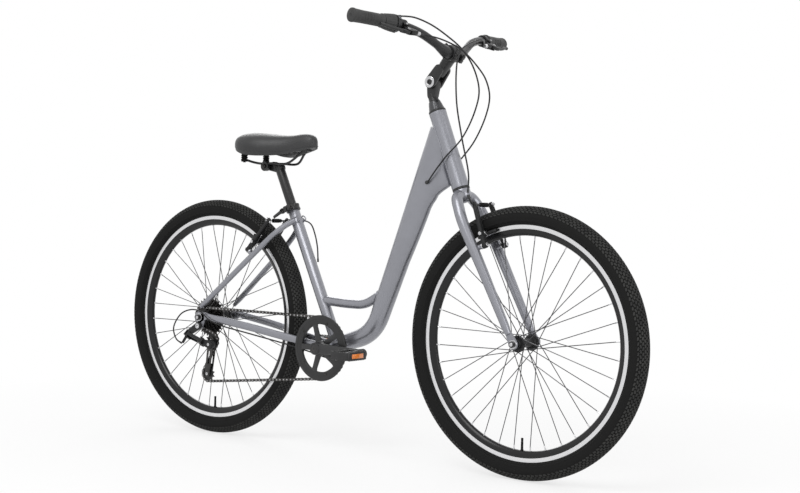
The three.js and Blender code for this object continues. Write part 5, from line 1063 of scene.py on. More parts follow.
def makeChainring():
    piece = Piece("chainring_and_guard", blackPlastic, darkSteel)
    hole = drive["ringHole"]
    piece.add(toothedPlate(drive["ring"], gapOf(chainWheels[0]), drive["ringLine"], hole, 60), crankPlace,
              1)
    # the guard is a ring outside the teeth, with a raised line round it
    profile = [(hole, 45.4), (hole, 50.6), (66.9, 51.5), (69, 51.9), (87.5, 51.9), (90, 51.3), (91, 50),
               (91, 49), (90.2, 48.5), (77.5, 48.5), (77, 48), (77, 46.2)]
    piece.add(lathe(profile, 120, closed=True), crankPlace)
    groove = [(80.4, 51.7), (80.4, 52.1), (81.4, 52.4), (82.6, 52.4), (83.6, 52.1), (83.6, 51.7)]
    piece.add(lathe(groove, 120, closed=True), crankPlace)
    for index in range(5):
        seat = turnedAbout(crankPlace, 72 + 72 * index)
        piece.add(boltHead(4.2, 1.6, 1.8), shifted(seat, x=drive["ringBolts"], z=51.6), 1)
    return piece.done("crankset", "dark_plastic", ["chainring"], sharp=30)


def makeCrank(side):
    # the right crank carries the five arms and points forward, the left one backward
    piece = Piece("crank_arm_" + hands[side], greyCrank, steel, darkSteel)
    place = crankPlace if side == right else placeOf(crankCentre, (-1, 0, 0), toLeft)
    long, out, flare = drive["crank"], drive["crankOut"], drive["flare"]
    run = smoothPath([(-2, 0, out + 1), (40, 0, out + 2.4), (110, 0, out + 7.6),
                      (long, 0, out + 3 + flare)], 24)
    piece.add(sweep(run, lambda s: (blend(7.4, 6.6, s), blend(15.6, 11.4, min(1, s * 1.1))), 28, (0, 0, 1)),
              place)
    hub = [(0, -8), (15.5, -8), (17, -6.5), (17, 8.4), (15.6, 10.4), (12.6, 10.8), (11.6, 9.6), (0, 9.6)]
    bolt = [(0, 8), (8.4, 8), (8.4, 9.9), (7.6, 10.3), (4.2, 10.3), (4.2, 9.0), (0, 9.0)]
    tip = [(0, 6), (11.8, 6), (13, 7), (13, 19.6), (11.8, 20.6), (0, 20.6)]
    piece.add(lathe([(r, out + z) for r, z in hub], 40), place)
    piece.add(lathe([(r, out + z) for r, z in bolt], 30), place, 2)
    piece.add(lathe([(r, out + z) for r, z in tip], 36), shifted(place, x=long))
    if side == right:
        for index in range(5):
            seat = turnedAbout(place, -36 + 72 * index)
            edge = [(8, -11), (30, -8.5), (58, -7.4), (68, -9.5), (70.5, -7)]
            piece.add(plate(edge + [(x, -y) for x, y in reversed(edge)], 46.2, 51.4, bevel=1.2), seat)
        carrier = [(9, 45.2), (21, 45.2), (22.5, 46.5), (22.5, 52.5), (20, 55), (17, 57.5), (9, 57.5)]
        piece.add(lathe(carrier, 44, closed=True), place)
    else:
        piece.add(rod((0, 0, -out - 2), (0, 0, out), 8.2, 28), place, 1)
    return piece.done("crankset", "dark_steel", ["crank_" + hands[side]], sharp=36)


pedalSizes = {"start": 96, "length": 80, "width": 64, "thick": 25, "rail": 9}


def addPedalSide(piece, place, way):
    # a long rail with its reflector, the ribs to the barrel, and the teeth on both faces
    p = pedalSizes
    near, far, half, tall = p["start"], p["start"] + p["length"], p["width"] / 2, p["thick"] / 2
    middle = (near + far) / 2
    edge, rail = [(0.4, near + 3), (0, near + 10), (0, far - 8), (3, far - 1.5)], p["rail"]
    outline = [(way * (half - a), b) for a, b in edge + [(rail, far - 3), (rail, near + 5)]]
    piece.add(plate(outline, 1.4 - tall, tall - 1.4, bevel=1.6), place @ sideways)
    piece.add(block(1.6, 15.5, 52, (way * (half - 0.3), 0, middle + 1), 0.6), place)
    piece.add(block(1.6, 12, 47, (way * (half + 0.15), 0, middle + 1), 0.5), place, 1)
    for rib in (-22, 0, 22):
        piece.add(block(half - 12, 10, 4, (way * (half + 4) / 2, 0, middle + rib), 0.8), place)
    for tooth in range(9):
        for face in (1, -1):
            spot = (way * (half - 4.4), face * (tall - 0.9), near + 10 + tooth * (far - near - 20) / 8)
            piece.add(block(3.2, 1.8, 3.4, spot, 0.5, 1), place)


def makePedal(side):
    p = pedalSizes
    place = placeOf((bike["crankX"] - side * drive["crank"], 0, bike["crankZ"]), (1, 0, 0), (0, side, 0))
    piece = Piece("pedal_%s_body" % hands[side], blackPlastic, amber, steel)
    near, far, half, tall = p["start"], p["start"] + p["length"], p["width"] / 2, p["thick"] / 2
    for way in (1, -1):
        addPedalSide(piece, place, way)
    for z in (near + 3.5, far - 4):
        piece.add(block(2 * half - 8, p["thick"] - 3, 7, (0, 0, z), 2.2), place)
    for face in (1, -1):
        for tooth in range(6):
            spot = (-17.5 + tooth * 7, face * (tall - 1.0), far - 4)
            piece.add(block(3.4, 1.8, 3.2, spot, 0.5, 1), place)
    barrel = [(0, near + 2), (10.5, near + 2), (11, near + 5), (9.4, near + 12), (9.4, far - 12),
              (11, far - 5),
              (10.6, far - 0.6), (8, far), (0, far)]
    flats = [(0, -9.8), (7.6, -9.8), (8, -9.2), (8, -6.6), (6.4, -6), (6.4, 2.4), (0, 2.4)]
    thread = [(0, -24), (5.4, -24), (5.9, -23), (5.9, -9), (0, -9)]
    piece.add(lathe(barrel, 32), place)
    piece.add(lathe([(r, near + z) for r, z in flats], 24), place, 2)
    piece.add(lathe([(r, near + z) for r, z in thread], 20), place, 2)
    return piece.done("pedal_" + hands[side], "dark_plastic", ["pedal_" + hands[side]])


def makeFreewheel():
    piece = Piece("freewheel_cogs", darkSteel, blackPaint)
    place = drivePlace(bike["rear"], bike["axle"])
    for index, teeth in enumerate(drive["cogs"]):
        line = drive["firstLine"] - index * drive["cogStep"]
        phase = gapOf(chainWheels[1]) if index == 0 else 0.1 * index
        hole = 19 if index == 0 else 21.5
        piece.add(toothedPlate(teeth, phase, line, hole, 40), place)
    body = [(9.5, 31.2), (18, 31.2), (18, 27.2), (22.4, 27.2), (22.4, 58), (21, 59.4), (17.4, 59.4),
            (17.4, 58.2),
            (9.5, 58.2)]
    piece.add(lathe(body, 56, closed=True), place, 1)
    piece.around(block(3.2, 4.6, 1.4, (13.6, 0, 58.2), 0.3, 1), 4, place)
    return piece.done("freewheel", "steel", ["freewheel"], sharp=30)


def makeJockey(wheel, name):
    piece = Piece(name + "_wheel", blackPlastic, steel)
    place = drivePlace(*wheel["centre"])
    line = drive["pulleyLine"]
    half = [(3.4, 4.7), (7.2, 4.7), (8.2, 3.6), (8.2, 1.2), (12.5, 0.9)]
    body = [(r, line - z) for r, z in half] + [(r, line + z) for r, z in reversed(half)]
    bush = [(3.3, line - 4.8), (5.6, line - 4.8), (5.6, line + 4.8), (3.3, line + 4.8)]
    piece.add(toothedPlate(drive["pulley"], gapOf(wheel), line, 6, 28, 2.0), place)
    piece.add(lathe(body, 36, closed=True), place)
    piece.add(lathe(bush, 28, closed=True), place, 1)
    return piece.done(name, "dark_plastic", [name])


derailleur = {
    "swing": (-36, -78, -54), "lean": 17, "slant": 38, "link": 54, "cageTurn": (49, -76), "bolt": (3, -25),
    "cageEnds": (12, 9), "cageHeights": (5.2, 7), "slot": (0.3, 0.68), "slotHalf": 3.4, "axle": 2.9,
    "edge": 0.0008,
}
lean, slant = math.radians(derailleur["lean"]), math.radians(derailleur["slant"])
swing = placeOf((bike["rear"] + derailleur["swing"][0], derailleur["swing"][1],
                 bike["axle"] + derailleur["swing"][2]),
                (math.cos(lean), 0, -math.sin(lean)),
                (math.sin(lean) * math.cos(slant), math.sin(slant), math.cos(lean) * math.cos(slant)))
cageTurn = (bike["rear"] + derailleur["cageTurn"][0], bike["axle"] + derailleur["cageTurn"][1])


def makeCage():
    d, line, place = derailleur, drive["pulleyLine"], drivePlace(0, 0)
    piece = Piece("derailleur_cage_plates", darkSteel, steel)
    (start, end), half = d["slot"], d["slotHalf"]
    slot = [(blend(lowerPulley[0], upperPulley[0], share) + aside,
             blend(lowerPulley[1], upperPulley[1], share))
            for share, aside in ((start, -half), (start, half), (end, half), (end, -half))]
    wide, narrow = d["cageEnds"]
    near, far = d["cageHeights"]
    for low, high in ((line + near, line + far), (line - far, line - near)):
        outline = linked(upperPulley, wide, lowerPulley, narrow, 12)
        piece.add(plate(outline, low, high, [slot], bevel=0.3, segments=1), place)
    piece.add(plate(linked(upperPulley, wide, cageTurn, narrow, 12), line + 5.3, line + 7.4, bevel=0.4),
              place)
    for x, z in (upperPulley, lowerPulley):
        piece.add(rod((x, z, line - far), (x, z, line + 6), d["axle"], 16), place, 1)
        piece.add(boltHead(4.3, 2.2, 2), shifted(place, x, z, line + 6.8), 1)
        piece.add(lathe([(0, 0), (3.8, 0), (3.8, -1.4), (0, -1.4)], 16), shifted(place, x, z, line - 6.8),
                  1)
    piece.add(rod((*cageTurn, line + 6), (*cageTurn, 77), 4, 20), place, 1)
    piece.done("cage", "dark_steel", ["derailleur_cage"], sharp=30)


def makeDerailleur():
    # the knuckles and links keep their solids with rounded edges, and get their bolts and covers
    place, d = drivePlace(0, 0), derailleur
    for node in ("knuckle_b", "link_outer", "link_inner", "knuckle_p"):
        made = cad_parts["derailleur_" + node]
        made.data.materials.clear()
        made.data.materials.append(castBlack.material)
        weld = made.modifiers.new("weld", "WELD")
        weld.merge_threshold = 0.00001
        edge = made.modifiers.new("edge", "BEVEL")
        edge.width, edge.segments = d["edge"], 2
        edge.limit_method, edge.angle_limit = "ANGLE", math.radians(28)
    trim = Piece("derailleur_trim_front", steel, castBlack)
    x, z = bike["rear"] + d["bolt"][0], bike["axle"] + d["bolt"][1]
    trim.add(boltHead(7.6, 3.4, 3.2), shifted(place, x, z, 81.8))
    washer = lathe([(0, 0), (10.4, 0), (10.8, 1), (10.8, 2.2), (10, 3), (0, 3)], 32)
    trim.add(washer, shifted(place, x, z, 79.6), 1)
    trim.done("knuckle_b", "dark_steel")
    trim = Piece("derailleur_trim_outer", steel, castBlack)
    cover = plate(linked((3, 0), 7.2, (d["link"] - 3, 0), 6.2, 12), -11.4, -9.6, bevel=0.7)
    trim.add(cover, turnedAbout(swing, 90, "X"), 1)
    for end in (0, d["link"]):
        for face in (1, -1):
            rivet = lathe([(0, 0), (2.4, 0), (2.4, 0.8), (1.6, 1.2), (0, 1.2)], 14)
            trim.add(rivet, shifted(swing, x=end, y=-7.5) @ along((0, 0, face * 8), (0, 0, face)))
    trim.done("link_outer", "dark_steel")
    trim = Piece("derailleur_trim_rear", castBlack, steel)
    cap = lathe([(0, 0), (12.6, 0), (13.4, 1.4), (13.4, 15), (12, 17.4), (6, 18), (0, 18)], 40)
    trim.add(cap, shifted(place, *cageTurn, 66.2))
    trim.add(boltHead(4.4, 1.2, 2), shifted(place, *cageTurn, 84), 1)
    trim.done("knuckle_p", "dark_steel")


makeChain()
makeChainring()
for side in (right, left):
    makeCrank(side)
    makePedal(side)
makeFreewheel()
makeJockey(chainWheels[2], "jockey_upper")
makeJockey(chainWheels[3], "jockey_lower")
makeCage()
makeDerailleur()
print("drive ready")

# the cables' routes: points forward of the rear axle, outward to the left, up
cables = {
    "radius": 2.1,
    "frontBrake": [(858, 100, 1128), (862, 40, 1113), (863, -8, 1088), (862, -22, 1058), (871, -34, 957),
                   (896, -42, 861), (925, -50, 765), (927, -54, 721)],
    "rearBrake": [(868, -105, 1106), (909, -70, 1080), (942, -40, 1035), (951, -20, 1007), (950, 0, 967),
                  (934, 10, 921), (895, 20, 858), (850, 30, 814), (800, 31, 768), (778, 25.5, 744)],
    "shift": [(797, -191.6, 1157.5), (806, -175, 1159), (822, -155, 1157), (849, -120, 1141),
              (879, -85, 1112), (902, -60, 1084), (929, -48, 1040), (944, -40, 981),
              (930, -34, 931), (881, -20, 860), (838, -30, 812), (800, -31, 768), (778, -25.5, 744)],
    "brakeRear": [(261.1, 53.9, 631.4), (290, 51, 635), (325, 40, 626), (352, 27, 598), (368, 20, 562),
                  (374, 17, 522)],
    "shiftRear": [(512, -14, 282), (475, -13, 261), (440, -14, 258), (398, -22, 268), (330, -37, 284),
                  (180, -58, 310), (80, -73, 328), (44, -80, 342),
                  (14, -84, 363), (-25, -84, 366), (-64, -87, 350), (-88, -91, 308), (-76, -90, 276),
                  (-56.2, -88.6, 266.1)],
}

# cockpit: the handlebar's route, and everything that sits on it
cockpit = {
    "half": 335, "sweep": -70, "rise": 64, "thick": 15.9, "thin": 11.1, "from": 32, "over": 32,
    "bands": (24, 30),
    "shares": [(0, 0, 0), (0.04, 0, 0), (0.075, 0, 0), (0.13, 0.02, 0.1), (0.21, 0.1, 0.31),
               (0.33, 0.27, 0.61), (0.45, 0.4, 0.78), (0.6, 0.54, 0.88), (1, 1, 1)],
    "grips": {right: 243, left: 205}, "twist": (208, 242), "shifter": (194, 207),
    "controls": {right: 182, left: 193}, "tilt": 32,
    "pivot": 34, "inboard": 34, "lever": [(34, 2), (40, 24), (41, 53), (36, 82), (37, 96)],
    "bulgeTurn": 158, "windowTurn": -50, "adjusterBack": 5.5, "adjuster": 14,
}


def barPoints(steps):
    half = [(barCentre[0] + cockpit["sweep"] * back, cockpit["half"] * out,
             barCentre[2] + cockpit["rise"] * up)
            for out, back, up in cockpit["shares"]]
    return smoothPath([(x, -y, z) for x, y, z in half[:0:-1]] + half, steps)


barFine = barPoints(600)


def barAt(across):
    index = next(i for i, p in enumerate(barFine) if p.y >= min(across, cockpit["half"] - 0.01))
    index = max(index, 1)
    before, after = barFine[index - 1], barFine[index]
    return before.lerp(after, (across - before.y) / (after.y - before.y)), (after - before).normalized()


def sleevePlace(inner, outer):
    # x across, z from the inner end to the outer end; also gives the length
    start, end = barAt(inner)[0], barAt(outer)[0]
    return placeOf(start, (0, 0, 1), end - start), (end - start).length


def controlPlace(side):
    # x ahead and down, y outward along the bar, z up from it; mirrored for the right hand
    spot, ahead = barAt(cockpit["controls"][side])
    tilt = math.radians(cockpit["tilt"])
    front = ahead.cross(Vector((math.sin(tilt), 0, math.cos(tilt)))).normalized()
    place = Matrix((front, ahead, front.cross(ahead))).transposed().to_4x4()
    place.translation = at(*spot)
    return Matrix.Diagonal((1, side, 1, 1)) @ place


def makeHandlebar():
    run = barPoints(150)
    near = lambda share: (abs(run[round(share * 150)].y) - cockpit["from"]) / cockpit["over"]
    thickness = lambda share: blend(cockpit["thick"], cockpit["thin"], min(1, max(0, near(share))))
    piece = Piece("handlebar_tube", blackPaint).add(sweep(run, thickness, 32, (0, 0, 1)))
    for side in (right, left):
        place = sleevePlace(*(side * across for across in cockpit["bands"]))[0]
        band = [(15.9, -1), (16.15, -0.8), (16.15, 0.8), (15.9, 1)]
        piece.add(lathe(band, 40, closed=True), place)
    return piece.done("bar", "black_metal", ["handlebar"], sharp=50)


def makeGrip(side):
    place, long = sleevePlace(side * cockpit["grips"][side], side * cockpit["half"])
    piece = Piece("grip_%s_rubber" % hands[side], gripRubber, blackPlastic)
    radius = lambda z: blend(16, 17.3, min(1, z / long)) - 0.8 * math.sin(math.pi * min(1, z / long))
    profile = [(11.6, 0), (17.4, 0), (18, 0.7), (18, 3), (17.3, 4)]
    profile += [(radius(z), z) for z in [long * i / 14 for i in range(1, 14)] if z > 6]
    end = [(radius(long), -5), (17.9, -3.6), (18, -1), (17.4, 1.4), (15.4, 2.6), (4.4, 2.9), (3.4, 1.6),
           (0, 1.6)]
    piece.add(lathe(profile + [(r, long + z) for r, z in end], 56), place)
    piece.add(lathe([(0, long + 1.2), (2.2, long + 1.2), (2.6, long + 2.2), (0, long + 2.4)], 20), place, 1)
    # four raised bands for the fingers on the front and back, and a thin ridge along top and bottom
    for band in range(4):
        z = long * (0.36 + 0.28 * band / 3)
        for turn in (-24, -12, 0, 12, 24):
            for face in (90, 270):
                piece.add(block(1.8, 4.2, 3.2, (radius(z) + 0.2, 0, z), 0.7),
                          turnedAbout(place, face + turn))
    piece.around(block(0.9, 1.5, long * 0.8, (radius(long / 2) + 0.1, 0, long * 0.5), 0.35, 1), 2, place)
    return piece.done("bar", "rubber", ["grip_" + hands[side]])


def makeTwistGrip():
    inner, outer = cockpit["twist"]
    place, long = sleevePlace(-inner, -outer)
    piece = Piece("twist_grip_rubber", gripRubber, blackPlastic)
    radius = lambda z: blend(22.2, 17.9, min(1, max(0, z) / long) ** 1.3)
    profile = [(12.6, 0.2), (21.6, 0.2), (22.6, 1.2), (22.6, 4)]
    profile += [(radius(z), z) for z in [long * i / 12 for i in range(2, 12)]]
    profile += [(18, long - 1), (17, long - 0.2), (12.6, long - 0.2)]
    piece.add(lathe(profile, 60, closed=True), place)
    for index in range(20):
        seat = turnedAbout(place, 18 * index)
        run = [(radius(long * s) - 0.25, 0, long * s) for s in (0.18, 0.4, 0.62, 0.86)]
        piece.add(sweep(run, (1.7, 0.9), 8, (0, 1, 0)), seat)
    piece.add(lathe([(22, 1.2), (22.6, 1.6), (22.6, 3.4), (22, 3.8)], 60, closed=True), place, 1)
    return piece.done("twist_grip", "rubber", ["twist_grip"])


def makeShifterHousing():
    inner, outer = cockpit["shifter"]
    place, long = sleevePlace(-inner, -outer)
    piece = Piece("shifter_housing_shell", blackPlastic, paint)
    shell = [(11.9, 0), (19.4, 0), (20.8, 1.4), (22.3, 8), (22.6, long - 1), (22.2, long - 0.2),
             (11.9, long - 0.2)]
    piece.add(lathe(shell, 60, closed=True), place)
    # the shell's lower bulge takes the cable, and its window has a mark for each gear
    piece.add(block(15, 13, long - 1.4, (15.2, 0, long / 2 - 0.1), 3, 3),
              turnedAbout(place, cockpit["bulgeTurn"]))
    window = turnedAbout(place, cockpit["windowTurn"])
    piece.add(block(4, 14, 8.6, (20.6, 0, long / 2), 1.2), window)
    piece.add(block(0.9, 11, 5.6, (22.6, 0, long / 2), 0.3, 1), window, 1)
    for step in range(7):
        piece.add(block(0.5, 0.8, 3.6, (23.1, -4.5 + 1.5 * step, long / 2), 0.1, 1), window)
    # the adjuster points the way the cable leaves
    start, after = (Vector((bike["rear"] + x, y, z)) for x, y, z in cables["shift"][:2])
    seat = along(start, (after - start).normalized())
    piece.add(lathe([(0, -7), (3.3, -7), (3.4, -1), (3.1, 1), (3.1, 7), (2.6, 8.6), (0, 8.6)], 20), seat)
    piece.around(block(0.5, 0.8, 5.6, (3.15, 0, 3.6), 0.2, 1), 10, seat)
    return piece.done("bar", "black_metal", ["shifter_housing"])


def makePerch(side):
    place = controlPlace(side)
    piece = Piece("brake_perch_%s_cast" % hands[side], castBlack, steel, alloy)
    half = [(11.3, 10.6), (15.2, 10.6), (15.9, 9.8)]
    ring = lathe([(r, -y) for r, y in half] + half[::-1], 44, closed=True)
    piece.add(ring, place @ placeOf((0, 0, 0), (1, 0, 0), toLeft))
    # two ears hold the blade between them, and a narrow arm runs inboard to the adjuster
    ears = [(9, -9), (9, 9), (24, 8.4), (34, 8.4), (40.6, 4), (42, -2), (40, -9.6), (36, -20), (33, -33.6),
            (24, -33.6), (20, -22), (16, -10)]
    for low, high in ((4.9, 6.5), (-6.5, -4.9)):
        piece.add(plate(ears, low, high, bevel=0.5), place)
    core = [(9, -9), (15, -7), (23, -9), (31, -11), (36, -14), (35, -20), (33, -34), (24, -34), (20, -22),
            (16, -10)]
    piece.add(plate(core, -5.4, 5.4, bevel=1.2), place)
    for face, head in ((1, boltHead(4, 2, 1.5)), (-1, hexNut(3.6, 1.8))):
        piece.add(head, place @ along((cockpit["pivot"], 0, face * 6.4), (0, 0, face)), 1)
        piece.add(block(10, 17, 5, (15, 0, face * 10.2), 1.2), place)
    piece.add(boltHead(2.7, 2.4, 1.3), place @ along((18.5, 0, 12.4), (0, 0, 1)), 1)
    # threaded adjuster with its lock ring
    start = cockpit["pivot"] - cockpit["adjusterBack"]
    seat = place @ along((start, -cockpit["inboard"] + 0.5, 0), (0, -1, 0))
    adjuster = [(0, -1), (3.6, -1), (3.6, 1.4), (5, 1.8), (5, 4.4), (3.9, 4.8), (3.9, 5.8), (4.3, 6),
                (4.3, 11.2),
                (3.4, 12), (2.6, 12.2), (0, 12.2)]
    piece.add(lathe(adjuster, 28), seat, 2)
    piece.around(block(0.7, 0.8, 4.2, (4.35, 0, 8.6), 0.2, 1), 12, seat, 2)
    piece.around(block(0.7, 0.9, 2.2, (5, 0, 3.1), 0.2, 1), 14, seat, 2)
    return piece.done("bar", "black_metal", ["brake_perch_" + hands[side]])


def makeLever(side):
    place, pivot = controlPlace(side), (cockpit["pivot"], 0)
    piece = Piece("brake_lever_%s_blade" % hands[side], blackPlastic, steel, castBlack)
    run = smoothPath([(x, y, 0) for x, y in cockpit["lever"]], 28)
    piece.add(sweep(run, lambda s: (4.1, blend(6.6, 4.2, min(1, s * 2))), 20, (0, 0, 1)), place)
    thick = (-4.3, 4.3)
    piece.add(plate(circle(pivot, 7.2, 32), *thick, [circle(pivot, 3.3, 20)], bevel=0.6), place, 2)
    root = [(28, -3), (33, -7), (40, -4), (45, 10), (46, 22), (42, 26), (36, 20), (33, 8)]
    piece.add(plate(root, *thick, bevel=1.0), place, 2)
    x, y = cockpit["lever"][-1]
    knob = lathe([(0, -4), (4.2, -4), (4.6, -2.4), (4.4, 0.2), (0, 1.2)], 24)
    piece.add(knob, place @ along((x, y - 1.2, 0), (0.1, 1, 0)))
    # the cable's end sits in a small barrel, and four low ribs cross the blade
    piece.add(rod((29.2, -1.6, -3.6), (29.2, -1.6, 3.6), 3, 18), place, 1)
    for y, x in ((30, 35.4), (42, 35.6), (54, 35.4), (66, 33.2)):
        piece.add(block(1.0, 4.6, 6.2, (x, y, 0), 0.4, 1), place)
    return piece.done("brake_lever_" + hands[side], "lever_alloy", ["brake_lever_" + hands[side]])


def makeStemBase():
    low, (x, _, z) = headTop + 31.6, bike["stemPivot"]
    piece = Piece("stem_base_forged", blackPaint)
    profile = [(0, -4), (14, -4), (14.2, 0), (13.2, 3), (12.6, 12), (12.6, 22), (0, 22)]
    piece.add(lathe([(r, low + up) for r, up in profile], 44), steering)
    neck = plate(linked((2.2, z - 30), 12, (x, z), 16.4, 14), -11.3, 11.3, bevel=2.2, segments=3)
    piece.add(neck, steering @ sideways)
    piece.done("steering", "black_metal", ["stem_base"])


def makeStemPivot():
    piece = Piece("stem_pivot_washers", steel, blackPaint)
    piece.add(rod((0, -20, 0), (0, 20, 0), 3.8, 24), stemPlace)
    for side in (1, -1):
        seat = stemPlace @ along((0, side * 20.2, 0), (0, side, 0))
        cover = [(0, 0), (14.6, 0), (15, 0.4), (15, 1.4), (14.2, 2.1), (12.4, 2.4), (9.6, 1.5), (0, 1.5)]
        head = [(0, 1.3), (6.8, 1.3), (7, 1.7), (7, 2.6), (6.5, 3), (3.4, 3), (3.4, 1.7), (0, 1.7)]
        piece.add(lathe(cover, 60), seat)
        piece.add(lathe(head, 36), seat, 1)
        piece.add(lathe([(7.4, 1.4), (8.6, 1.9), (9.6, 1.4)], 48), seat)
    piece.done("steering", "steel", ["stem_pivot_bolt"])


def makeBarClamp(piece, ahead, start, end):
    # one half of the clamp round the bar, ahead of its middle or behind it, with a lug at each corner
    turn, place = (0 if ahead else 180), shifted(stemPlace, x=bike["stemLength"])
    ring = arc((0, 0), 16.1, -89 + turn, 89 + turn, 20) + arc((0, 0), 21, 89 + turn, -89 + turn, 24)
    piece.add(plate(ring, -21.9, 21.9, bevel=0.6), place @ sideways)
    for face in (1, -1):
        for half in (-1, 1):
            y, z = half * 14.6, face * 22.8
            piece.add(block(end - start, 13, 8.8, ((start + end) / 2, y, face * 22.6), 1.6), place)
            if ahead:
                piece.add(boltHead(3.7, 3.6, 1.9), place @ along((10.4, y, z), (1, 0, 0)), 1)
            else:
                piece.add(rod((-10, y, z), (-0.2, y, z), 2.4, 14), place, 1)
    return place


def makeStemArm():
    piece = Piece("stem_arm_forged", blackPaint, darkSteel)
    for start in (-19.7, 12.0):
        cheek = plate(linked((0, 0), 16.8, (40, 0), 13.8, 18), start, start + 7.7,
                      [circle((0, 0), 4.3, 24)], bevel=1.2)
        piece.add(cheek, stemPlace @ sideways)
    body = [(26, 0, 0), (38, 0, 0), (60, 0, 0), (75, 0, 0)]
    piece.add(sweep(body, lambda s: (blend(19.2, 20.4, s), blend(12.6, 14.6, s)), 36, toLeft), stemPlace)
    makeBarClamp(piece, False, -10.9, -0.4)
    cap = Piece("stem_faceplate_cap", blackPaint, darkSteel)
    place = makeBarClamp(cap, True, 0.4, 10.9)
    for y in (-7.6, 7.6):
        cap.add(block(1.6, 1.8, 25, (20.8, y, 0), 0.6), place)
    cap.done("bar", "black_metal", ["stem_faceplate"])
    piece.done("bar", "black_metal", ["stem_arm"])


def makeHeadsetCone():
    # a grey cone between a black lip at its foot and a black seal at its top
    piece = Piece("headset_cone_shell", coneGrey, blackPaint)
    base = headTop + 0.3
    profile = [(14.6, 0), (22.6, 0), (23, 0.4), (23, 4.7), (22.6, 5.1), (21.3, 6), (20.4, 10), (17.7, 22),
               (15.8, 29.6),
               (15, 30.9), (14.6, 31)]
    upFrom = lambda centre: (steering.inverted() @ (centre * mm)).z / mm - base
    cone = lathe([(r, base + up) for r, up in profile], 64, closed=True)
    piece.add(cone, steering, pick=lambda centre: 0 if 5.2 <= upFrom(centre) <= 27 else 1)
    piece.done("steering", "dark_steel", ["headset_cone"])


# seat: post, collar, lever, saddle base with its rails and springs, and the soft top
seat = {
    "post": 13.6, "postLow": 322, "postHigh": 560, "clamp": (-336.43, 0, 789), "start": -429, "top": 885,
    "underside": 48, "skirt": 6, "rails": 797,
    "stations": [(0, 26, 19, 42), (9, 58, 10, 46), (30, 80, 3, 55), (60, 88, 0, 64), (95, 85, 2, 68),
                 (130, 70, 6, 68), (160, 52, 8, 66), (190, 38, 8, 61),
                 (220, 29, 5, 55), (243, 23, 6, 50), (258, 16, 13, 46), (264, 8, 22, 42)],
    "sides": [(0, 0), (0.38, 0.02), (0.68, 0.1), (0.88, 0.26), (0.98, 0.48), (1, 0.7), (0.95, 1)],
    "collar": (414, 431), "skewer": -24, "pin": -19.3, "welt": 0.9, "rail": 3.4, "railOut": 22,
    "spring": (34, 46), "springDeep": 84,
}


def saddleHalf(distance):
    for first, last in zip(seat["stations"], seat["stations"][1:]):
        if distance <= last[0]:
            return blend(first[1], last[1], (distance - first[0]) / (last[0] - first[0]))
    return seat["stations"][-1][1]


def saddleStation(distance):
    # the stations joined by smooth curves
    table = seat["stations"]
    distance = min(max(distance, 0), table[-1][0])
    index = next(i for i in range(1, len(table)) if distance <= table[i][0])
    p = [table[max(0, min(len(table) - 1, k))] for k in range(index - 2, index + 2)]
    t = (distance - p[1][0]) / (p[2][0] - p[1][0])
    rows = []
    for k in (1, 2, 3):
        near = (p[2][k] - p[0][k]) / max(1, p[2][0] - p[0][0]) * (p[2][0] - p[1][0])
        far = (p[3][k] - p[1][k]) / max(1, p[3][0] - p[1][0]) * (p[2][0] - p[1][0])
        a, b = p[1][k], p[2][k]
        rows.append(a * (2 * t ** 3 - 3 * t * t + 1) + near * (t ** 3 - 2 * t * t + t)
                    + b * (3 * t * t - 2 * t ** 3) + far * (t ** 3 - t * t))
    return rows


def saddlePoints(distance, pinch):
    half, top, skirt = saddleStation(distance)
    half, deep = half * pinch - 0.5, skirt - top
    side = [(a * half, top + 0.4 + d * (deep - 0.4)) for a, d in seat["sides"]]
    outer = smoothPath([(x, 0, d) for x, d in side], 16)
    lip = max(side[-1][0] - seat["skirt"], side[-1][0] * 0.42)
    under = max(min(seat["underside"], skirt - 1), top + 12)
    hem = [(lip + 2.4, skirt - 0.4), (lip, skirt - 2.4), (lip - 0.4, (under + skirt) / 2)]
    return [(p.x, p.z) for p in outer] + hem + [(lip - 2, under), (lip * 0.5, under), (0, under)]


def makeSaddle():
    steps = [0, 2, 5, 9, 14, 20] + list(range(28, 244, 8)) + [246, 251, 255, 259, 262, 264]
    bm = bmesh.new()
    rows = []
    for distance in steps:
        half = saddlePoints(distance, 1.0 if 6 < distance < 258 else 0.93)
        loop = half + [(-x, d) for x, d in half[-2:0:-1]]
        rows.append([bm.verts.new(at(seat["start"] + distance, x, seat["top"] - d)) for x, d in loop])
    for first, last in zip(rows, rows[1:]):
        for k in range(len(first)):
            after = (k + 1) % len(first)
            bm.faces.new((first[k], first[after], last[after], last[k]))
    for row in (rows[0], rows[-1]):
        bm.faces.new(row)
    piece = Piece("saddle_cover", vinyl)
    piece.add(bm)
    made = piece.done("saddle", "vinyl", ["saddle"], sharp=55)
    # a welt follows the edge of the cover
    trim = Piece("saddle_welt", vinyl)
    for side in (left, right):
        low = []
        for distance in [6, 12, 20] + list(range(30, 256, 8)) + [258, 262]:
            half, top, skirt = saddleStation(distance)
            low.append((seat["start"] + distance, side * (half * 0.985 - 0.7),
                        seat["top"] - blend(top, skirt, 0.82)))
        trim.add(sweep(smoothPath(low, 90), seat["welt"], 8, (0, 0, 1)))
    trim.done("saddle", "vinyl")
    return made


def addRail(piece, side, low):
    # one steel rail from the nose through the clamp to the spring at the back
    level, out, (back, aside) = seat["rails"], seat["railOut"], seat["spring"]
    route = [(226, 7, low + 3), (212, 10, low - 8), (178, out, level), (120, out, level), (68, out, level),
             (38, 40, level + 9), (back, aside, level + 14)]
    run = smoothPath([(seat["start"] + x, side * y, z) for x, y, z in route], 60)
    piece.add(sweep(run, seat["rail"], 16), finish=1)


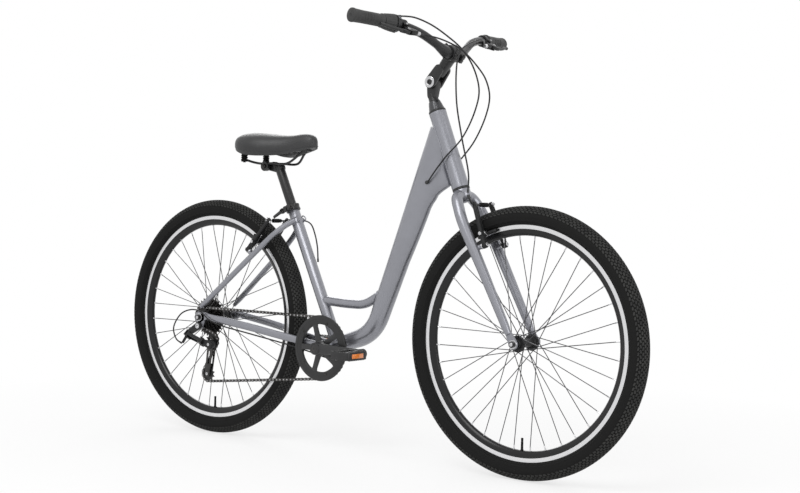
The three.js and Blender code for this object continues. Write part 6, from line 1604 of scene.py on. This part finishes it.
def addSaddleSpring(piece, side, low):
    # a ribbed rubber sleeve round the spring, with a bolt under it
    back, aside = seat["spring"]
    bottom = seat["top"] - seat["springDeep"]
    height = low + 2 - bottom
    profile = [(0, 0), (8.4, 0), (9.4, 1), (9.4, 4)]
    for fold in range(4):
        z = 4 + (height - 8) * fold / 4
        profile += [(9.6, z + 0.6), (9.6, z + 3.4), (7.4, z + 5.4)]
    profile += [(9.6, height - 2.4), (9.6, height), (0, height)]
    x, y = seat["start"] + back, side * aside
    piece.add(lathe(profile, 32), along((x, y, bottom), (0, 0, 1)), 2)
    piece.add(boltHead(4, 2.2, 1.8), along((x, y, bottom - 0.1), (0, 0, -1)), 3)


def addSaddleClamp(piece, side):
    # the round jaw on one rail, its grooves, and the nut on the end of the clamp's bolt
    x, _, z = seat["clamp"]
    jaw = [(4, 12.4), (13, 12.4), (14, 13.4), (14, 25.2), (13, 26.2), (4, 26.2)]
    piece.add(lathe(jaw, 40, closed=True), along((x, 0, z), (0, side, 0)), 1)
    for groove in range(5):
        spot = (x - 9 + 4.5 * groove, side * 19.3, z - 13.2 + abs(groove - 2) * 1.4)
        piece.add(block(1.2, 12.6, 1.4, spot, 0.3, 1), finish=1)
    end = along((x, side * 26, z), (0, side, 0))
    piece.add(hexNut(6.4, 4.6), end, 3)
    piece.add(lathe([(0, 0), (3.4, 0), (3.4, 7), (2.8, 7.8), (0, 7.8)], 18), end, 3)


def makeSaddleBase():
    piece = Piece("saddle_pan", blackPlastic, blackPaint, padRubber, darkSteel)
    top, start = seat["top"] - seat["underside"] - 0.5, seat["start"]
    low = top - 5.8
    spans = [blend(14, 235, i / 26) for i in range(27)]
    half = [(start + s, saddleHalf(s) * 0.95 - 8.4) for s in spans]
    piece.add(plate([(x, -y) for x, y in half] + half[::-1], top - 5.6, top, bevel=1))
    for s in (60, 110, 160):
        wide = saddleHalf(s) * 0.95 - 14
        piece.add(block(3, 2 * wide, 4, (start + s, 0, top - 7), 1))
    for side in (left, right):
        addRail(piece, side, low)
        addSaddleSpring(piece, side, low)
        addSaddleClamp(piece, side)
    x, _, z = seat["clamp"]
    piece.add(rod((x, -13, z), (x, 13, z), 3.9, 18), finish=3)
    piece.add(block(5, 20, 9, (start + 222, 0, low - 1), 2))
    piece.add(block(7, 122, 3, (start + seat["spring"][0], 0, low - 0.5), 1))
    return piece.done("saddle", "dark_plastic", ["saddle_base"])


def makeSeatpost():
    piece = Piece("seatpost_tube", blackPaint, darkSteel)
    r, low, high = seat["post"], seat["postLow"], seat["postHigh"]
    profile = [(0, low), (r - 0.4, low), (r, low + 0.6), (r, high - 26), (r - 0.3, high - 20),
               (r - 1, high - 6),
               (r - 2.4, high - 1), (r - 5, high), (0, high)]
    piece.add(lathe(profile, 44), seatPlace)
    cx, _, cz = seat["clamp"]
    x, _, z = point(seatPlace, 0, 0, high - 12)
    hole = circle((cx, cz), 4.3, 20)
    head = plate(linked((x, z), 12.6, (cx, cz), 10.8, 14), -11.7, 11.7, [hole], bevel=1.8, segments=3)
    piece.add(head, sideways)
    for mark in range(8):
        piece.add(block(0.3, 4.5, 0.5, (r - 0.1, 0, 440 + mark * 9)), seatPlace, 1)
    return piece.done("seatpost", "black_metal", ["seatpost"])


def makeCollar():
    low, high = seat["collar"]
    y, middle, wall = seat["skewer"], (low + high) / 2, 20.6
    piece = Piece("seat_collar_band", blackPaint, darkSteel)
    lip = [(16.9, 0), (wall - 0.8, 0), (wall, 0.8), (wall, 4), (wall - 0.7, 5)]
    band = [(r, low + up) for r, up in lip] + [(r, high - up) for r, up in reversed(lip)]
    piece.add(lathe(band, 56, closed=True), seatPlace)
    for way in (1, -1):
        piece.add(block(9.6, 12.4, 16.6, (way * 6.1, y + 0.4, middle), 2.2, 3), seatPlace)
        piece.add(block(6, 8, 13, (way * 7.6, -18, middle), 2), seatPlace)
    piece.add(rod((seat["pin"], y, middle), (19, y, middle), 2.9, 18), seatPlace, 1)
    knob = [(0, 0), (5.4, 0), (5.9, 0.6), (5.9, 4), (5.2, 5), (3, 5.4), (0, 5.4)]
    piece.add(lathe(knob, 24), seatPlace @ along((10.4, y, middle), (1, 0, 0)), 1)
    piece.add(rod((seat["pin"], y, middle - 7.8), (seat["pin"], y, middle + 7.8), 2.9, 18), seatPlace, 1)
    piece.done("frame", "black_metal", ["seat_collar"])


def makeSeatLever():
    y, middle = seat["skewer"], sum(seat["collar"]) / 2
    piece = Piece("seat_lever_blade", blackPaint)
    for way in (1, -1):
        ring = [(3.4, way * 3.5), (7.3, way * 3.5), (7.3, way * 5.3), (6.8, way * 5.8), (3.4, way * 5.8)]
        piece.add(lathe(ring, 32, closed=True), shifted(seatPlace, seat["pin"], y, middle))
    blade = [(-24.6, 0), (-32, 0.6), (-41.3, 3), (-54, 5.6), (-63.3, 8)]
    run = smoothPath([(x, y + out, middle) for x, out in blade], 24)
    piece.add(sweep(run, lambda s: (blend(2.4, 2.0, s), blend(5.6, 4.3, s)), 20, toLeft), seatPlace)
    for way in (1, -1):
        piece.add(block(6.5, 5.4, 2.2, (-24.4, y, middle + way * 4.7), 0.7), seatPlace)
    return piece.done("seat_lever", "black_metal", ["seat_lever"])


makeHandlebar()
for side in (right, left):
    makeGrip(side)
    makePerch(side)
    makeLever(side)
makeTwistGrip()
makeShifterHousing()
makeStemBase()
makeStemPivot()
makeStemArm()
makeHeadsetCone()
makeSaddle()
makeSaddleBase()
makeSeatpost()
makeCollar()
makeSeatLever()
print("cockpit and seat ready")

# rim brakes: one pair in front, the same pair turned round at the rear
brake = {
    "length": 112, "near": 46, "far": 38, "out": 53, "bend": 10, "rise": 24, "padTurn": 12,
    "low": 289.5, "high": 297.5, "inside": 14.7, "spring": 0.7, "coil": 7.4, "stem": 3.2, "wire": 0.8,
    "noodle": 2.7,
}


def armPlace(place):
    # x outward along an arm's row, y up the arm, z forward
    return place @ placeOf((0, 0, 0), (0, 1, 0), (1, 0, 0))


def addBrakeSpring(piece, front, side):
    # a coil round the stud and a leg up the arm's back
    near, far, reach = side * brake["near"], side * brake["far"], brake["coil"]
    coil = [(near + reach * math.cos(t * 0.5), reach * math.sin(t * 0.5), -6.2 - t * 0.09)
            for t in range(34)]
    leg = [(near - side * 7.2, 2, -7.4), (near - side * reach, 30, -7.4), (near - side * 6.0, 56, -7.2),
           (far - side * 1, 60, -5.2)]
    for run in (coil, smoothPath(leg, 16)):
        piece.add(sweep(run, brake["spring"], 6), front, 1)


def addPadHolder(piece, front, side):
    # the stem of the pad with its washers and nut, and the block and bolt that clamp it to the arm
    b = brake
    level = (b["low"] + b["high"]) / 2 - tubes["stud"]
    stem = [(side * (b["inside"] + 2), level, 0), (side * (b["near"] + 5), level, 0)]
    piece.add(rod(*stem, b["stem"], 20), front, 1)
    for x, r, wide, finish in ((26, 6.6, 2.4, 1), (29, 5.4, 2, 0), (31.2, 6.8, 2.0, 1),
                               (49.6, 6.4, 2.2, 0)):
        washer = lathe([(0, 0), (r, 0), (r, wide), (0, wide)], 24)
        piece.add(washer, front @ along((side * x, level, 0), (side, 0, 0)), finish)
    piece.add(hexNut(4.9, 4.2), front @ along((side * 51.6, level, 0), (side, 0, 0)), 1)
    piece.add(boltHead(4.6, 3.4, 1.9), shifted(front, side * 40.6, level, 5.2), 1)
    piece.add(plate(linked((side * 41, level), 8.2, (side * b["near"], 4), 7, 12), -4.8, 4.8, bevel=1),
              front)


def addPad(piece, place, side):
    # a curved rubber pad along the rim, in its stiff holder
    b, half, hub = brake, brake["padTurn"] / 2, (0, -tubes["stud"])
    for inset, turn, near, far, bevel, finish in ((0, half, 0.2, 6.4, 0.9, 2),
                                                  (0.8, half * 0.94, 5.6, 8.9, 1.0, 3)):
        outline = arc(hub, b["high"] - inset, 90 + turn, 90 - turn, 12)
        outline += arc(hub, b["low"] + inset, 90 - turn, 90 + turn, 12)
        shoe = plate(outline, -side * (b["inside"] + near), -side * (b["inside"] + far), bevel=bevel)
        piece.add(shoe, place @ sideways, finish)


def addNoodle(piece, front, top, lean):
    # the bent guide from the housing's end to the middle, with its rubber boot
    out, rise = -brake["out"], top + brake["rise"] + lean * 0.45
    bend = [(-10, top, 0), (-brake["far"] - 4, top, 0), (out + 5, top + 3, 0),
            (out, top + brake["bend"], lean * 0.25), (out - 1, rise, lean)]
    piece.add(sweep(smoothPath(bend, 40), brake["noodle"], 16), front)
    socket = lathe([(0, -5), (3.7, -5), (4, -4.4), (4, 4.4), (3.6, 5), (0, 5)], 22)
    piece.add(socket, front @ along((out - 1, rise - 3, lean * 0.86), (0, 1, lean / 30)), 3)
    piece.add(block(9, 9, 8, (-brake["far"], top, 0), 1.4), front)
    boot = [(4.7, 20), (5.7, 20)]
    for fold in range(5):
        z = 17 - 5.4 * fold
        boot += [(5.9, z + 1.6), (5.9, z), (4.95, z - 1.4)]
    boot += [(5.4, -11), (5.2, -13), (3.2, -14), (3.0, -12), (4.7, -9)]
    piece.add(lathe(boot, 28, closed=True), front @ placeOf((0, top, 0), (0, 1, 0), (1, 0, 0)), 2)


def addWireClamp(piece, front, top):
    # the wire comes out of the boot and is clamped under this arm's bolt
    far = brake["far"]
    piece.add(rod((16, top, 0), (far + 9, top, 0), brake["wire"], 8), front, 4)
    tip = lathe([(0, 0), (1.3, 0), (1.4, 3.4), (0, 4)], 12)
    piece.add(tip, front @ along((far + 8, top, 0), (1, 0, 0)), 4)
    piece.add(boltHead(4.4, 3.2, 1.9), shifted(front, far, top, 6.2), 1)
    piece.add(lathe([(0, 0), (5.4, 0), (5.4, 1.2), (0, 1.2)], 24), shifted(front, far, top, 5.3), 4)
    piece.add(rod((far, top, -9), (far, top, 6), 3, 16), front, 1)


def makeBrakeArm(name, body, place, side, lean=0):
    piece = Piece(name + "_forged", castBlack, steel, padRubber, blackPlastic, alloy)
    front = armPlace(place)
    near, far, length = side * brake["near"], side * brake["far"], brake["length"]
    piece.add(plate(linked((near, 0), 8, (far, length), 5.2, 14), -4.2, 4.2, bevel=1.2), front)
    for face in (1, -1):
        # a raised rim runs round each face of the arm, leaving a shallow channel
        ridge = linked((near, 14), 5.6, (far, length - 6), 4.0, 10)
        hollow = linked((near - side * 0.5, 18), 3.2, (far, length - 10), 2.0, 8)
        piece.add(plate(ridge, face * 4, face * 5.4, [hollow], bevel=0.3, segments=1), front)
    boss = [(4.3, -5.5), (7.6, -5.5), (8.4, -4.6), (8.4, 4.6), (7.6, 5.5), (4.3, 5.5)]
    pivot = [(0, 0), (5.2, 0), (5.6, 0.5), (5.6, 2), (4.4, 2.6), (2.3, 2.6), (2.3, 1.4), (0, 1.4)]
    piece.add(lathe(boss, 36, closed=True), shifted(front, x=near))
    piece.add(lathe(pivot, 28), shifted(front, near, 0, 6.4), 1)
    addBrakeSpring(piece, front, side)
    addPadHolder(piece, front, side)
    addPad(piece, place, side)
    if side < 0:
        addNoodle(piece, front, length - 3, lean)
    else:
        addWireClamp(piece, front, length - 3)
    return piece.done(body, "black_metal", [name])


makeBrakeArm("front_brake_arm_right", "front_brake_right", frontBrake, -1)
makeBrakeArm("front_brake_arm_left", "front_brake_left", frontBrake, 1)
makeBrakeArm("rear_brake_arm_left", "rear_brake_left", rearBrake, -1, -22)
makeBrakeArm("rear_brake_arm_right", "rear_brake_right", rearBrake, 1)
print("brakes ready")

# cables: each is a smooth run through its points, covered in one or two lengths of housing


def cablePoints(name):
    route = [(bike["rear"] + x, y, z) for x, y, z in cables[name]]
    side = {"frontBrake": left, "rearBrake": right}.get(name)
    if side:  # it starts at the adjuster of its lever
        start = (cockpit["pivot"] - cockpit["adjusterBack"], -cockpit["inboard"] - cockpit["adjuster"], 0)
        route.insert(0, point(controlPlace(side), *start))
    return smoothPath(route, 160)


def makeFerrule(piece, start, after):
    profile = [(0, -1.6), (2.1, -1.6), (2.7, -1.2), (2.7, 7.5), (2.35, 8.4), (0, 8.4)]
    piece.add(lathe(profile, 16), along(start, (after - start).normalized()), 1)


def makeHousing(name, route, replaced, bodies, part, bend):
    # a part of a cable's run between two bodies
    points = cablePoints(route)
    low, high = (round(share * (len(points) - 1)) for share in part)
    run = points[low:high + 1]
    piece = Piece(name, housing, blackPlastic)
    piece.add(sweep(run, cables["radius"], 10))
    if part[0] == 0:
        makeFerrule(piece, run[0], run[3])
    if part[1] == 1:
        makeFerrule(piece, run[-1], run[-4])
    made = piece.done(bodies[0], "cable_housing", replaced, ride=False)
    start, end = (run[round(share * (len(run) - 1))] for share in bend)
    start * mm
    end * mm
    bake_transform(made)


# each housing: its route, the node that it replaces, its bodies, its part of the route, where it bends
housings = [
    ("front_brake_housing", "frontBrake", ["front_brake_cable"], ("bar", "steering"), (0, 1), (0.06, 0.9)),
    ("rear_brake_housing_upper", "rearBrake", ["rear_brake_cable_front"], ("bar", "steering"), (0, 0.5),
     (0.1, 0.97)),
    ("rear_brake_housing_lower", "rearBrake", [], ("steering", "frame"), (0.5, 1), (0.03, 0.9)),
    ("shift_housing_upper", "shift", ["shift_cable_front"], ("bar", "steering"), (0, 0.6), (0.1, 0.97)),
    ("shift_housing_lower", "shift", [], ("steering", "frame"), (0.6, 1), (0.03, 0.9)),
    ("rear_brake_housing_rear", "brakeRear", ["rear_brake_cable_rear"], ("rear_brake_left", "frame"),
     (0, 1), (0.04, 0.9)),
    ("shift_housing_rear", "shiftRear", ["shift_cable_rear"], ("frame", "knuckle_b"), (0, 1), (0.74, 0.97)),
]
for row in housings:
    makeHousing(*row)
print("cables ready")
